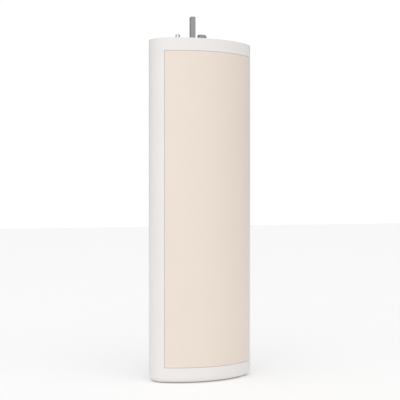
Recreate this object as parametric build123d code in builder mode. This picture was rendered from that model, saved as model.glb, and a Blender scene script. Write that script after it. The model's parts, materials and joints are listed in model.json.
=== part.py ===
from build123d import *
import os
from math import acos, cos, degrees, pi, radians, sin, sqrt, tan

# Curtain track motor. +Z is up, towards the track, and the beige front panel
# faces -Y. The origin is the middle of the bottom face. Sizes are millimetres.

# Body section: four tangent arcs
body_height = 260.0
body_width = 85.5
corner_radius = 14.4
front_spread = 36.1
rear_spread = 62.0
wall = 2.2

# Caps and front panel
top_cap_height = 9.7
bottom_cap_height = 11.4
cap_roof = 2.5
cap_floor = 2.5
top_edge_break = 0.6
bottom_edge_break = 1.6
panel_edge_break = 0.3
panel_wall = 2.0
panel_seam = 0.35
skirt_height = 5.0
skirt_wall = 1.6
shell_fit = 0.15

# Panel ledge and snap arms
ledge_wall = 1.6
ledge_reach = 4.0
ledge_root = 3.0
snap_count = 4
snap_width = 9.0
snap_barb = 0.9
snap_thickness = 1.5
snap_depth = 2.4
snap_gap = 0.25
rib_depth = 1.4
rib_width = 1.2
rib_x = 13.0
rib_end_gap = 1.0

# Chassis
spine_wall = 1.8
gearbox_gap = 0.95
spine_bottom = 20.0
spine_clearance = 0.3
chassis_screw_inset = 12.75
boss_size = 7.2
saddle_width = 40.0
saddle_gap = 0.3
window_width = 18.0
window_height = 12.0
foot_inset = 10.75
foot_behind_spine = 5.6
foot_size = 9.0
foot_height = 14.0
cap_post_radius = 5.0
cap_screw_seat = 10.0
tower_x = 24.0
tower_behind_spine = 7.6
tower_size = 9.0
tower_height = 16.0

# Drive line
shaft_from_back = 18.2
square_size = 4.0
square_turn = 15.0
square_chamfer = 0.6
shaft_rise = 22.5
journal_radius = 3.0
shoulder_radius = 4.0
running_fit = 0.05
end_play = 0.25
bearing_radius = 6.5
bearing_width = 5.0
bearing_race = 1.3
ring_clip_radius = 4.7
ring_clip_thickness = 0.6
clip_mouth = 4.0
clip_depth = 0.5
journal_rise = 0.3

# Gear train: two equal planetary stages in one ring
gear_module = 0.5
sun_teeth = 12
planet_teeth = 18
planets = 3
pressure_angle = 20.0
addendum = 1.0
dedendum = 1.25
backlash = 0.08
ring_backlash = 0.16
planet_pin_radius = 1.5
output_face = 8.0
pin_tip = 0.3
input_face = 6.0
carrier_radius = 10.6
output_carrier_thickness = 4.0
first_carrier_thickness = 2.6
carrier_gap = 0.5
gearbox_radius = 15.0
cover_height = 8.0
cover_thickness = 3.6
collar_wall = 2.0
cover_ear = 9.0
cover_neck_radius = 11.0
pad_size = 5.4
flange_thickness = 3.0

# Motor
motor_radius = 14.0
motor_length = 56.0
can_wall = 1.1
magnet_thickness = 2.2
magnet_length = 38.0
magnet_spread = 62.0
rotor_gap = 0.5
rotor_length = 30.0
rotor_offset = 2.0
rotor_slots = 5
rotor_tooth_width = 3.2
rotor_hub_radius = 4.6
rotor_shoe = 1.6
rotor_slot_mouth = 1.4
rotor_mouth_depth = 4.8
coil_overhang = 3.0
coil_thickness = 1.1
coil_fit = 0.25
coil_drop = 0.75
rotor_shaft_radius = 1.6
commutator_radius = 4.2
commutator_length = 8.0
commutator_rise = 0.8
brush_gap = 0.1
brush_width = 2.6
brush_height = 4.0
bush_radius = 4.0
bush_length = 4.0
end_bell_thickness = 3.9
bell_plug = 1.1
holder_wall = 0.8
holder_length = 6.0
brush_length = 6.5
brush_slot = 23.6
commutator_slit = 0.4
encoder_disc_radius = 6.0
encoder_disc_thickness = 2.5
encoder_board_radius = 9.0
encoder_board_thickness = 1.2
encoder_gap = 1.0
encoder_posts = 3
encoder_post_size = 2.4
sensor_width = 3.0
sensor_height = 4.0
encoder_post_circle = 7.6
boss_height = 2.0
motor_boss_radius = 5.5
isolator_wall = 1.9
isolator_width = 6.0
isolator_inset = 4.0

# Top fittings
plate_thickness = 1.6
plate_left = 18.0
plate_right = 20.0
plate_front = 13.0
plate_edge = 3.0
plate_corner = 4.0
plate_fit = 0.2
lever_swing = 9.0
notch_play = 0.6
neck_fit = 0.2
peg_x = -13.1
peg_radius = 1.75
peg_height = 7.9
peg_lead = 0.8
peg_collar_radius = 2.9
peg_collar_height = 0.8
plate_screw_angles = (125, 235, 330)
plate_screw_circle = 12.0
gear_screw_angles = (10, 170, 285)
gear_screw_circle = 13.8
lever_gap = 0.3
lever_thickness = 1.8
lever_pivot_x = 8.5
lever_pivot_back = 9.85
lever_boss_radius = 4.4
hook_left = 5.1
hook_right = 11.8
hook_width = 3.2
hook_height = 8.8
hook_nose = 2.2
hook_nose_height = 2.5
hook_lead = 1.2
tab_reach = 17.0
tab_drop = 4.6
tab_width = 6.5
tab_height = 5.0
pivot_radius = 2.0
pivot_head_radius = 3.6
pivot_head_height = 1.6
spring_strip = 0.5
spring_strip_height = 1.2
spring_post_radius = 0.8
spring_post_left = 6.0
spring_post_back = 2.5
spring_play = 0.05
spring_tab_play = 0.2
spring_bend = 1.0
spring_lift = 0.1
spring_run = 3.0
spring_hook = 2.2

# Bottom fittings
recess = 0.6
inlet_from_foot = 17.0
inlet_before_shaft = 6.34
inlet_width = 20.2
inlet_depth = 12.2
inlet_height = 16.2
inlet_corner = 2.0
inlet_flange = 1.4
inlet_flange_thickness = 2.0
inlet_mouth_depth = 8.8
inlet_mouth_height = 12.0
inlet_eye_x = 3.7
inlet_waist = 6.6
inlet_pin_radius = 1.18
inlet_pin_pitch = 6.6
inlet_pin_length = 9.9
inlet_tail = 6.0
prong_width = 3.0
prong_inset = 3.9
prong_height = 8.0
prong_back = 6.0
hole_fit = 0.2
jack_from_foot = 18.0
jack_before_shaft = 6.34
jack_width = 13.4
jack_depth = 11.6
jack_height = 16.4
jack_mouth_width = 9.8
jack_mouth_depth = 6.8
jack_mouth_height = 11.0
jack_key_width = 6.2
jack_key_depth = 1.8
contact_count = 6
contact_pitch = 1.27
contact_thickness = 0.4
contact_slant = 2.0
socket_reach_left = 12.4
socket_reach_right = 12.6
socket_reach_front = 17.5
socket_reach_back = 8.0
socket_post_size = 4.6
socket_post_right = 9.9
socket_post_left = 9.7
socket_post_back = 3.0
socket_post_front = 9.9
board_thickness = 1.6
controls_spread = 5.0
controls_before_jack = 12.0
button_radius = 3.0
button_flange_radius = 4.0
button_flange_thickness = 1.2
button_travel = 0.6
button_stem_radius = 1.6
button_fit = 0.2
switch_size = 6.0
switch_height = 3.4
light_radius = 1.5
light_head_radius = 2.3
light_head_height = 1.5
status_light_size = 2.0
status_light_height = 0.6

# Circuit boards
main_board_width = 46.0
main_board_bottom = 62.0
main_board_height = 148.0
standoff = 3.0
board_post_size = 5.5
power_board_width = 50.0
power_board_bottom = 44.0
power_board_drop = 25.0
board_screw_inset = 4.0

# Parts on the boards, each chip given as x, z, width, height and thickness
chip_table = (
    (-9.0, 112.0, 12.0, 12.0, 1.4),
    (9.0, 112.0, 8.0, 6.0, 1.1),
    (10.0, 146.0, 9.0, 9.0, 1.6),
    (-11.0, 146.0, 5.0, 4.0, 1.0),
    (0.0, 90.0, 6.5, 5.0, 1.1),
)
radio_drop = 24.0
radio_width = 18.0
radio_height = 25.5
radio_board = 0.8
shield_drop = 2.5
shield_width = 15.8
shield_height = 17.5
shield_depth = 2.4
transformer_x = -9.0
transformer_z = 79.0
bobbin_width = 24.0
bobbin_height = 22.0
bobbin_depth = 3.0
winding_width = 15.0
winding_height = 20.0
winding_depth = 15.0
core_width = 23.0
core_height = 11.0
core_depth = 18.0
capacitor_x = 12.0
capacitor_heights = (62.0, 74.0)
capacitor_radius = 5.0
capacitor_length = 16.0
film_x = -9.0
film_z = 61.0
film_width = 13.0
film_height = 6.0
film_depth = 12.0
motor_plug_drop = 13.0
motor_plug_width = 16.0
motor_plug_height = 8.0
motor_plug_depth = 7.0
control_plug_low = 72.0
control_plug_width = 11.0
control_plug_height = 7.0
control_plug_depth = 6.0

# Leads
lead_core = 1.6
lead_bend = 3.0
mains_lead_z = 52.0
motor_lead_back = 11.2
plug_lead_straight = 9.0
supply_lead_drop = 9.5
signal_core = 1.0
signal_bend = 2.0
sensor_lead_drop = 5.0
sensor_lead_front = 6.0
sensor_lead_cores = 4
control_lead_front = 2.0
control_lead_rise = 30.0

# Fasteners
screw_sides = 8
screw_radius = 1.5
screw_head_radius = 2.8
screw_head_height = 2.0
driver_slot = 0.9
screw_length = 16.0
small_screw_radius = 1.0
small_head_radius = 1.9
small_head_height = 1.3
small_screw_length = 6.0

# Section worked out from the sizes above
corner_x = body_width / 2 - corner_radius
front_radius = corner_radius + corner_x / sin(radians(front_spread))
rear_radius = corner_radius + corner_x / sin(radians(rear_spread))
front_reach = front_radius - (front_radius - corner_radius) * cos(radians(front_spread))
rear_reach = rear_radius - (rear_radius - corner_radius) * cos(radians(rear_spread))
body_depth = front_reach + rear_reach
corner_y = front_reach - body_depth / 2
front_centre = front_radius - body_depth / 2
rear_centre = body_depth / 2 - rear_radius
far = 2 * front_radius

# Heights and depths worked out from the sizes above
shell_bottom = bottom_cap_height
shell_top = body_height - top_cap_height
panel_bottom = shell_bottom + panel_seam
panel_top = shell_top - panel_seam
pocket_floor = body_height - plate_thickness
roof_under = pocket_floor - cap_roof
skirt_outer = wall + shell_fit
skirt_inner = skirt_outer + skirt_wall
ledge_outer = panel_wall + shell_fit
ledge_inner = ledge_outer + ledge_wall
shaft_y = body_depth / 2 - shaft_from_back
spine_back = shaft_y - gearbox_radius - gearbox_gap
spine_front = spine_back - spine_wall
chassis_screw_x = body_width / 2 - chassis_screw_inset
foot_x = body_width / 2 - foot_inset
foot_y = spine_back + foot_behind_spine
tower_y = spine_back + tower_behind_spine
plate_top = body_height
lever_low = plate_top + lever_gap
lever_high = lever_low + lever_thickness
clip_top = lever_low - lever_gap - ring_clip_thickness / 2
bearing_top = clip_top - ring_clip_thickness
bearing_bottom = bearing_top - bearing_width
cover_top = roof_under
collar_radius = bearing_radius + collar_wall
gear_top = cover_top - cover_height
output_carrier_top = gear_top - end_play
output_carrier_low = output_carrier_top - output_carrier_thickness
output_gear_top = output_carrier_low - carrier_gap
output_gear_low = output_gear_top - output_face
first_carrier_top = output_gear_low - 2 * carrier_gap
first_carrier_low = first_carrier_top - first_carrier_thickness
input_gear_top = first_carrier_low - carrier_gap
input_gear_low = input_gear_top - input_face
flange_top = input_gear_low - 2 * carrier_gap
flange_low = flange_top - flange_thickness
motor_top = flange_low
motor_low = motor_top - motor_length
bell_low = motor_low - end_bell_thickness
planet_orbit = gear_module * (sun_teeth + planet_teeth) / 2
ring_teeth = sun_teeth + 2 * planet_teeth
isolator_radius = motor_radius + isolator_wall
isolator_lows = (motor_low + isolator_inset, motor_top - isolator_inset - isolator_width)
magnet_outer = motor_radius - can_wall - running_fit
rotor_radius = magnet_outer - magnet_thickness - rotor_gap
rotor_middle = (motor_top + motor_low) / 2 + rotor_offset
main_board_back = spine_front - standoff
main_board_front = main_board_back - board_thickness
power_board_front = spine_back + standoff
power_board_back = power_board_front + board_thickness
inlet_x = inlet_from_foot - foot_x
inlet_y = shaft_y - inlet_before_shaft
inlet_top = recess + inlet_height
jack_x = foot_x - jack_from_foot
jack_y = shaft_y - jack_before_shaft
button_x = jack_x + controls_spread
light_x = jack_x - controls_spread
controls_y = jack_y - controls_before_jack
socket_board_low = recess + jack_height
socket_board_top = socket_board_low + board_thickness
pivot_head_low = lever_high + lever_gap
journal_top = clip_top + journal_rise
brush_low = motor_low + bell_plug + brush_height / 2 + commutator_rise
encoder_disc_low = bell_low - encoder_gap - encoder_disc_thickness
encoder_board_top = encoder_disc_low - encoder_gap
encoder_board_low = encoder_board_top - encoder_board_thickness
window_middle = encoder_board_low - window_height / 2
power_board_top = encoder_board_low - power_board_drop
power_board_height = power_board_top - power_board_bottom
motor_plug_low = power_board_top - motor_plug_drop
supply_lead_z = encoder_board_low - supply_lead_drop
sensor_lead_z = encoder_board_low - sensor_lead_drop
radio_z = main_board_bottom + main_board_height - radio_drop
chassis_screw_heights = (power_board_bottom, flange_low)

os.makedirs("parts", exist_ok=True)


def save(piece, name):
    """Name a finished piece and write it as its own file."""
    piece.part.label = name
    export_step(piece.part, "parts/" + name + ".step")


def body_outline(inset=0.0, mode=Mode.ADD):
    """The body's section in the current sketch, drawn in by inset all round."""
    corner_spread = 180 - front_spread - rear_spread
    with BuildLine(Plane.XY) as arcs:
        CenterArc((0, front_centre), front_radius - inset, 270 - front_spread, 2 * front_spread)
        CenterArc((corner_x, corner_y), corner_radius - inset, 270 + front_spread, corner_spread)
        CenterArc((0, rear_centre), rear_radius - inset, 90 - rear_spread, 2 * rear_spread)
        CenterArc((-corner_x, corner_y), corner_radius - inset, 90 + rear_spread, corner_spread)
    make_face(arcs.edges(), mode=mode)


def front_wedge(half_angle, mode=Mode.ADD):
    """The front sector of the section, seen from the front arc's centre."""
    slope = tan(radians(half_angle))
    near = (front_centre - corner_y) * slope
    reach = far * slope
    Polygon(
        (-near, corner_y),
        (near, corner_y),
        (reach, front_centre - far),
        (-reach, front_centre - far),
        align=None,
        mode=mode,
    )


def block(x_low, x_high, y_low, y_high, mode=Mode.ADD):
    """A rectangle in the current sketch, given by its edges."""
    with Locations(((x_low + x_high) / 2, (y_low + y_high) / 2)):
        Rectangle(x_high - x_low, y_high - y_low, mode=mode)


def screw_hole(radius, mode=Mode.SUBTRACT):
    """A screw's hole in the current sketch: few sided, and round the screw's own size."""
    RegularPolygon(radius, screw_sides, major_radius=False, mode=mode)


def spots(circle, angles):
    """Places on a circle about the drive shaft."""
    return [
        (circle * cos(radians(angle)), shaft_y + circle * sin(radians(angle)))
        for angle in angles
    ]


def half_width(y, inset):
    """Half the section's width at depth y, behind the widest place or before it."""
    return corner_x + sqrt(max((corner_radius - inset) ** 2 - (y - corner_y) ** 2, 0.0))


def rear_face(x, inset):
    """Where the back wall lies at x."""
    return rear_centre + sqrt((rear_radius - inset) ** 2 - x**2)


def plate_outline(grow=0.0):
    """The mounting plate's outline in the current sketch, grown by a clearance."""
    front = shaft_y - plate_front - grow
    block(-plate_left - grow, plate_right + grow, front, body_depth / 2)
    body_outline(plate_edge - grow, Mode.INTERSECT)


plate_screw_spots = spots(plate_screw_circle, plate_screw_angles)
gear_screw_spots = spots(gear_screw_circle, gear_screw_angles)
pivot_spot = (lever_pivot_x, shaft_y + lever_pivot_back)
pivot_y = pivot_spot[1]
tab_x = lever_pivot_x + tab_reach
tab_y = pivot_y - tab_drop
chassis_screw_spots = [
    (side * chassis_screw_x, height) for height in chassis_screw_heights for side in (-1, 1)
]
spine_half = half_width(spine_front, skirt_inner + spine_clearance)

# Rear housing: one white moulding with the panel ledges, motor ribs and screw bosses
with BuildPart() as rear_housing:
    with BuildSketch(Plane.XY.offset(shell_bottom)):
        body_outline()
        body_outline(wall, Mode.SUBTRACT)
        front_wedge(front_spread, Mode.SUBTRACT)
    extrude(amount=shell_top - shell_bottom)
    with BuildSketch(Plane.XY.offset(shell_bottom + skirt_height + shell_fit)):
        body_outline(ledge_outer)
        body_outline(ledge_inner, Mode.SUBTRACT)
        front_wedge(front_spread + ledge_root, Mode.INTERSECT)
        front_wedge(front_spread - ledge_reach, Mode.SUBTRACT)
    extrude(amount=shell_top - shell_bottom - 2 * (skirt_height + shell_fit))
    for low in isolator_lows:
        with BuildSketch(Plane.XY.offset(low)):
            block(-saddle_width / 2, saddle_width / 2, shaft_y, body_depth / 2)
            with Locations((0, shaft_y)):
                Circle(isolator_radius, mode=Mode.SUBTRACT)
            body_outline(wall / 2, Mode.INTERSECT)
        extrude(amount=isolator_width)
    with BuildSketch(Plane.XZ.offset(-spine_back)):
        with Locations(*chassis_screw_spots):
            Rectangle(boss_size, boss_size)
    extrude(amount=-rear_face(chassis_screw_x - boss_size / 2, wall / 2) + spine_back)
    with BuildSketch(Plane.XZ.offset(-spine_back)):
        with Locations(*chassis_screw_spots):
            screw_hole(screw_radius, Mode.ADD)
    extrude(amount=spine_wall - screw_length, mode=Mode.SUBTRACT)
    with BuildSketch(Plane.XY.offset(shell_bottom)):
        body_outline()
    extrude(amount=shell_top - shell_bottom, mode=Mode.INTERSECT)
save(rear_housing, "rear_housing")

# Front cover: the beige curved panel, held by snap arms behind the housing's ledges
snap_edge = radians(front_spread - ledge_reach) - snap_gap / front_radius
snap_heights = [
    panel_bottom + (panel_top - panel_bottom) * (place + 0.5) / snap_count
    for place in range(snap_count)
]
with BuildPart() as front_cover:
    with BuildSketch(Plane.XY.offset(panel_bottom)):
        body_outline()
        body_outline(panel_wall, Mode.SUBTRACT)
        front_wedge(front_spread - degrees(panel_seam / front_radius), Mode.INTERSECT)
    extrude(amount=panel_top - panel_bottom)
    outer_face = front_cover.faces().sort_by(SortBy.AREA)[-1]
    chamfer(outer_face.edges(), panel_edge_break)
    barb_top = -(front_radius - ledge_inner - shell_fit)
    arm_root = -(front_radius - panel_wall / 2)
    arm_end = barb_top + snap_depth
    for height in snap_heights:
        for side in (-1, 1):
            across = (cos(snap_edge), side * sin(snap_edge), 0)
            arm_plane = Plane((0, front_centre, height - snap_width / 2), across, (0, 0, 1))
            with BuildSketch(arm_plane):
                Polygon(
                    (0, arm_root),
                    (0, barb_top),
                    (side * snap_barb, barb_top),
                    (0, arm_end),
                    (-side * snap_thickness, arm_end),
                    (-side * snap_thickness, arm_root),
                    align=None,
                )
            extrude(amount=snap_width)
    with BuildSketch(Plane.XY.offset(panel_bottom + skirt_height + rib_end_gap)):
        with Locations((-rib_x, corner_y), (rib_x, corner_y)):
            Rectangle(rib_width, body_depth)
        body_outline(panel_wall / 2, Mode.INTERSECT)
        body_outline(panel_wall + rib_depth, Mode.SUBTRACT)
        front_wedge(front_spread / 2, Mode.INTERSECT)
    extrude(amount=panel_top - panel_bottom - 2 * (skirt_height + rib_end_gap))
save(front_cover, "front_cover")

# Top cap: a shallow white lid whose skirt fits inside the housing and the panel. The
# mounting plate lies in its pocket, and a notch beside that leaves room for the lever.
notch_front = tab_y - tab_width / 2 - tab_reach * sin(radians(lever_swing)) - notch_play
notch_back = pivot_y + 2 * notch_play
with BuildPart() as top_cap:
    with BuildSketch(Plane.XY.offset(shell_top)):
        body_outline()
    extrude(amount=top_cap_height)
    chamfer(top_cap.faces().sort_by(Axis.Z)[-1].edges(), top_edge_break)
    with BuildSketch(Plane.XY.offset(shell_top)):
        body_outline(skirt_inner)
    extrude(amount=roof_under - shell_top, mode=Mode.SUBTRACT)
    with BuildSketch(Plane.XY.offset(shell_top - skirt_height)):
        body_outline(skirt_outer)
        body_outline(skirt_inner, Mode.SUBTRACT)
    extrude(amount=roof_under - shell_top + skirt_height)
    with BuildSketch(Plane.XY.offset(pocket_floor)):
        plate_outline(plate_fit)
        block(plate_right, body_width / 2, notch_front, notch_back)
    extrude(amount=plate_thickness, mode=Mode.SUBTRACT)
    with BuildSketch(Plane.XY.offset(roof_under)):
        with Locations((0, shaft_y)):
            Circle(collar_radius + neck_fit)
        with Locations(*plate_screw_spots, pivot_spot):
            screw_hole(screw_radius + neck_fit, Mode.ADD)
    extrude(amount=cap_roof, mode=Mode.SUBTRACT)
    with BuildSketch(Plane.XY.offset(shell_top - skirt_height)):
        with Locations((0, shaft_y)):
            Circle(gearbox_radius + saddle_gap)
    extrude(amount=roof_under - shell_top + skirt_height, mode=Mode.SUBTRACT)
save(top_cap, "top_cap")

# Bottom cap: a shallow white tray with the mains inlet, control socket, button and light
cap_post_spots = [(side * foot_x, foot_y) for side in (-1, 1)]
socket_post_spots = [
    (jack_x + socket_post_right, jack_y + socket_post_back),
    (jack_x - socket_post_left, jack_y - socket_post_front),
]
with BuildPart() as bottom_cap:
    with BuildSketch(Plane.XY):
        body_outline()
    extrude(amount=bottom_cap_height)
    chamfer(bottom_cap.faces().sort_by(Axis.Z)[0].edges(), bottom_edge_break)
    with BuildSketch(Plane.XY.offset(cap_floor)):
        body_outline(skirt_inner)
    extrude(amount=bottom_cap_height, mode=Mode.SUBTRACT)
    with BuildSketch(Plane.XY.offset(cap_floor)):
        body_outline(skirt_outer)
        body_outline(skirt_inner, Mode.SUBTRACT)
    extrude(amount=bottom_cap_height + skirt_height - cap_floor)
    with BuildSketch(Plane.XY):
        with Locations(*cap_post_spots):
            Circle(cap_post_radius)
    extrude(amount=spine_bottom)
    with BuildSketch(Plane.XY):
        with Locations(*socket_post_spots):
            Rectangle(socket_post_size, socket_post_size)
    extrude(amount=socket_board_low)
    with BuildSketch(Plane.XY):
        with Locations(*cap_post_spots):
            Circle(screw_head_radius + hole_fit)
    extrude(amount=cap_screw_seat, mode=Mode.SUBTRACT)
    with BuildSketch(Plane.XY):
        with Locations(*cap_post_spots):
            screw_hole(screw_radius, Mode.ADD)
    extrude(amount=spine_bottom, mode=Mode.SUBTRACT)
    with BuildSketch(Plane.XY.offset(socket_board_low)):
        with Locations(*socket_post_spots):
            screw_hole(small_screw_radius, Mode.ADD)
    extrude(amount=-small_screw_length, mode=Mode.SUBTRACT)
    with BuildSketch(Plane.XY):
        with Locations((inlet_x, inlet_y)):
            RectangleRounded(inlet_width + 2 * hole_fit, inlet_depth + 2 * hole_fit, inlet_corner)
        with Locations((jack_x, jack_y)):
            Rectangle(jack_width + 2 * hole_fit, jack_depth + 2 * hole_fit)
        with Locations((button_x, controls_y)):
            Circle(button_radius + button_fit)
        with Locations((light_x, controls_y)):
            Circle(light_radius)
    extrude(amount=cap_floor, mode=Mode.SUBTRACT)
save(bottom_cap, "bottom_cap")

# Chassis: a black moulded spine with motor saddles, board posts, feet and towers


def board_corners(width, bottom, height, lean):
    """Two opposite corners of a board, drawn in to where its posts stand."""
    post_x = width / 2 - board_screw_inset
    return [
        (-lean * post_x, bottom + board_screw_inset),
        (lean * post_x, bottom + height - board_screw_inset),
    ]


main_board_size = (main_board_width, main_board_bottom, main_board_height)
power_board_size = (power_board_width, power_board_bottom, power_board_height)
main_post_spots = board_corners(*main_board_size, 1)
main_rest_spots = board_corners(*main_board_size, -1)
power_post_spots = board_corners(*power_board_size, 1)
power_rest_spots = board_corners(*power_board_size, -1)
tower_spots = [(side * tower_x, tower_y) for side in (-1, 1)]
with BuildPart() as chassis:
    with BuildSketch(Plane.XZ.offset(-spine_back)):
        block(-spine_half, spine_half, spine_bottom, gear_top)
        with Locations((0, window_middle)):
            Rectangle(window_width, window_height, mode=Mode.SUBTRACT)
    extrude(amount=spine_wall)
    with BuildSketch(Plane.XZ.offset(-spine_front)):
        with Locations(*main_post_spots, *main_rest_spots):
            Rectangle(board_post_size, board_post_size)
    extrude(amount=standoff)
    with BuildSketch(Plane.XZ.offset(-spine_back)):
        with Locations(*power_post_spots, *power_rest_spots):
            Rectangle(board_post_size, board_post_size)
    extrude(amount=-standoff)
    for low in isolator_lows:
        with BuildSketch(Plane.XY.offset(low)):
            block(-saddle_width / 2, saddle_width / 2, spine_front, shaft_y - saddle_gap)
            with Locations((0, shaft_y)):
                Circle(isolator_radius, mode=Mode.SUBTRACT)
        extrude(amount=isolator_width)
    with BuildSketch(Plane.XY.offset(spine_bottom)):
        for x, y in cap_post_spots:
            block(x - foot_size / 2, x + foot_size / 2, spine_front, y + foot_size / 2)
    extrude(amount=foot_height)
    with BuildSketch(Plane.XY.offset(inlet_top)):
        for side in (-1, 1):
            prong_x = inlet_x + side * (inlet_width / 2 - prong_inset)
            block(prong_x - prong_width / 2, prong_x + prong_width / 2, spine_front, prong_back)
    extrude(amount=prong_height)
    with BuildSketch(Plane.XY.offset(gear_top - tower_height)):
        for x, y in tower_spots:
            block(x - tower_size / 2, x + tower_size / 2, spine_front, y + tower_size / 2)
    extrude(amount=tower_height)
    with BuildSketch(Plane.XY.offset(spine_bottom)):
        with Locations(*cap_post_spots):
            screw_hole(screw_radius, Mode.ADD)
    extrude(amount=foot_height, mode=Mode.SUBTRACT)
    with BuildSketch(Plane.XY.offset(gear_top)):
        with Locations(*tower_spots):
            screw_hole(screw_radius, Mode.ADD)
    extrude(amount=-foot_height, mode=Mode.SUBTRACT)
    with BuildSketch(Plane.XZ.offset(-spine_front)):
        with Locations(*chassis_screw_spots):
            screw_hole(screw_radius, Mode.ADD)
    extrude(amount=-spine_wall, mode=Mode.SUBTRACT)
    with BuildSketch(Plane.XZ.offset(-main_board_back)):
        with Locations(*main_post_spots):
            screw_hole(small_screw_radius, Mode.ADD)
    extrude(amount=-small_screw_length + board_thickness, mode=Mode.SUBTRACT)
    with BuildSketch(Plane.XZ.offset(-power_board_front)):
        with Locations(*power_post_spots):
            screw_hole(small_screw_radius, Mode.ADD)
    extrude(amount=small_screw_length - board_thickness, mode=Mode.SUBTRACT)
save(chassis, "chassis")

# Gearbox cover: a zinc casting with the bearing collar, the screw pads and two ears
with BuildPart() as gearbox_cover:
    with BuildSketch(Plane.XY.offset(gear_top)):
        with Locations((0, shaft_y)):
            Circle(gearbox_radius)
        with Locations((0, tower_y)):
            Rectangle(2 * tower_x + cover_ear, cover_ear)
    extrude(amount=cover_thickness)
    with BuildSketch(Plane.XY.offset(gear_top)):
        with Locations((0, shaft_y)):
            Circle(cover_neck_radius)
        with Locations(*plate_screw_spots, pivot_spot):
            Rectangle(pad_size, pad_size)
    extrude(amount=cover_height)
    with BuildSketch(Plane.XY.offset(cover_top)):
        with Locations((0, shaft_y)):
            Circle(collar_radius)
    extrude(amount=plate_top - cover_top)
    with BuildSketch(Plane.XY.offset(bearing_bottom)):
        with Locations((0, shaft_y)):
            Circle(bearing_radius)
    extrude(amount=plate_top - bearing_bottom, mode=Mode.SUBTRACT)
    with BuildSketch(Plane.XY.offset(gear_top)):
        with Locations((0, shaft_y)):
            Circle(shoulder_radius + saddle_gap)
    extrude(amount=cover_height, mode=Mode.SUBTRACT)
    with BuildSketch(Plane.XY.offset(gear_top)):
        with Locations(*tower_spots, *plate_screw_spots, pivot_spot):
            screw_hole(screw_radius, Mode.ADD)
        with Locations(*gear_screw_spots):
            screw_hole(small_screw_radius, Mode.ADD)
    extrude(amount=cover_height, mode=Mode.SUBTRACT)
save(gearbox_cover, "gearbox_cover")

# Mounting plate: stamped steel in the cap's pocket, with a post for the lever's spring
spring_post_spot = (lever_pivot_x - spring_post_left, pivot_y + spring_post_back)
with BuildPart() as mounting_plate:
    with BuildSketch(Plane.XY.offset(pocket_floor)):
        plate_outline()
    extrude(amount=plate_thickness)
    fillet(mounting_plate.edges().filter_by(Axis.Z), plate_corner)
    with BuildSketch(Plane.XY.offset(pocket_floor)):
        with Locations((0, shaft_y)):
            Circle(collar_radius + neck_fit)
        with Locations((peg_x, shaft_y)):
            Circle(peg_radius)
        with Locations(pivot_spot, *plate_screw_spots):
            screw_hole(screw_radius, Mode.ADD)
    extrude(amount=plate_thickness, mode=Mode.SUBTRACT)
    with BuildSketch(Plane.XY.offset(plate_top)):
        with Locations(spring_post_spot):
            Circle(spring_post_radius)
    extrude(amount=lever_high + spring_lift + 2 * spring_strip_height - plate_top)
save(mounting_plate, "mounting_plate")

# Locating peg: a turned steel pin riveted into the plate
peg_top = body_height + peg_height
with BuildPart() as locating_peg:
    with BuildSketch(Plane.XY.offset(pocket_floor)):
        with Locations((peg_x, shaft_y)):
            Circle(peg_radius)
    extrude(amount=peg_top - pocket_floor)
    chamfer(locating_peg.faces().sort_by(Axis.Z)[-1].edges(), peg_lead)
    with BuildSketch(Plane.XY.offset(plate_top)):
        with Locations((peg_x, shaft_y)):
            Circle(peg_collar_radius)
    extrude(amount=peg_collar_height)
save(locating_peg, "locating_peg")

# Locking lever: a flat zinc lever with an upstanding hook and thumb tab
hook_top = body_height + hook_height
with BuildPart() as locking_lever:
    with BuildSketch(Plane.XY.offset(lever_low)):
        with Locations(pivot_spot):
            Circle(lever_boss_radius)
        block(hook_left, hook_right, shaft_y - hook_width / 2, pivot_y)
        Polygon(
            (lever_pivot_x, pivot_y + lever_boss_radius),
            (lever_pivot_x, pivot_y - lever_boss_radius),
            (tab_x, tab_y - tab_width / 2),
            (tab_x, tab_y + tab_width / 2),
            align=None,
        )
    extrude(amount=lever_thickness)
    with BuildSketch(Plane.YZ.offset(tab_x - lever_thickness)):
        with Locations((tab_y, lever_low + tab_height / 2)):
            Rectangle(tab_width, tab_height)
    extrude(amount=lever_thickness)
    with BuildSketch(Plane.XZ.offset(-shaft_y - hook_width / 2)):
        Polygon(
            (hook_left, lever_low),
            (hook_right - hook_nose, lever_low),
            (hook_right - hook_nose, hook_top - hook_nose_height),
            (hook_right, hook_top - hook_nose_height),
            (hook_right, hook_top - hook_lead),
            (hook_right - hook_lead, hook_top),
            (hook_left + hook_lead / 2, hook_top),
            (hook_left, hook_top - hook_lead / 2),
            align=None,
        )
    extrude(amount=hook_width)
    with BuildSketch(Plane.XY.offset(lever_low)):
        with Locations(pivot_spot):
            Circle(pivot_radius + running_fit)
    extrude(amount=lever_thickness, mode=Mode.SUBTRACT)
save(locking_lever, "locking_lever")

# Shoulder screw that the lever turns on
with BuildPart() as lever_pivot_screw:
    with BuildSketch(Plane.XY.offset(plate_top)):
        with Locations(pivot_spot):
            Circle(pivot_radius)
    extrude(amount=pivot_head_low - plate_top)
    with BuildSketch(Plane.XY.offset(pivot_head_low)):
        with Locations(pivot_spot):
            Circle(pivot_head_radius)
    extrude(amount=pivot_head_height)
    with BuildSketch(Plane.XY.offset(gear_top + cover_thickness)):
        with Locations(pivot_spot):
            screw_hole(screw_radius, Mode.ADD)
    extrude(amount=plate_top - gear_top - cover_thickness)
    with BuildSketch(Plane.XY.offset(pivot_head_low + pivot_head_height)):
        with Locations(pivot_spot):
            Rectangle(2 * pivot_head_radius, driver_slot)
    extrude(amount=-pivot_head_height / 2, mode=Mode.SUBTRACT)
save(lever_pivot_screw, "lever_pivot_screw")


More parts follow.
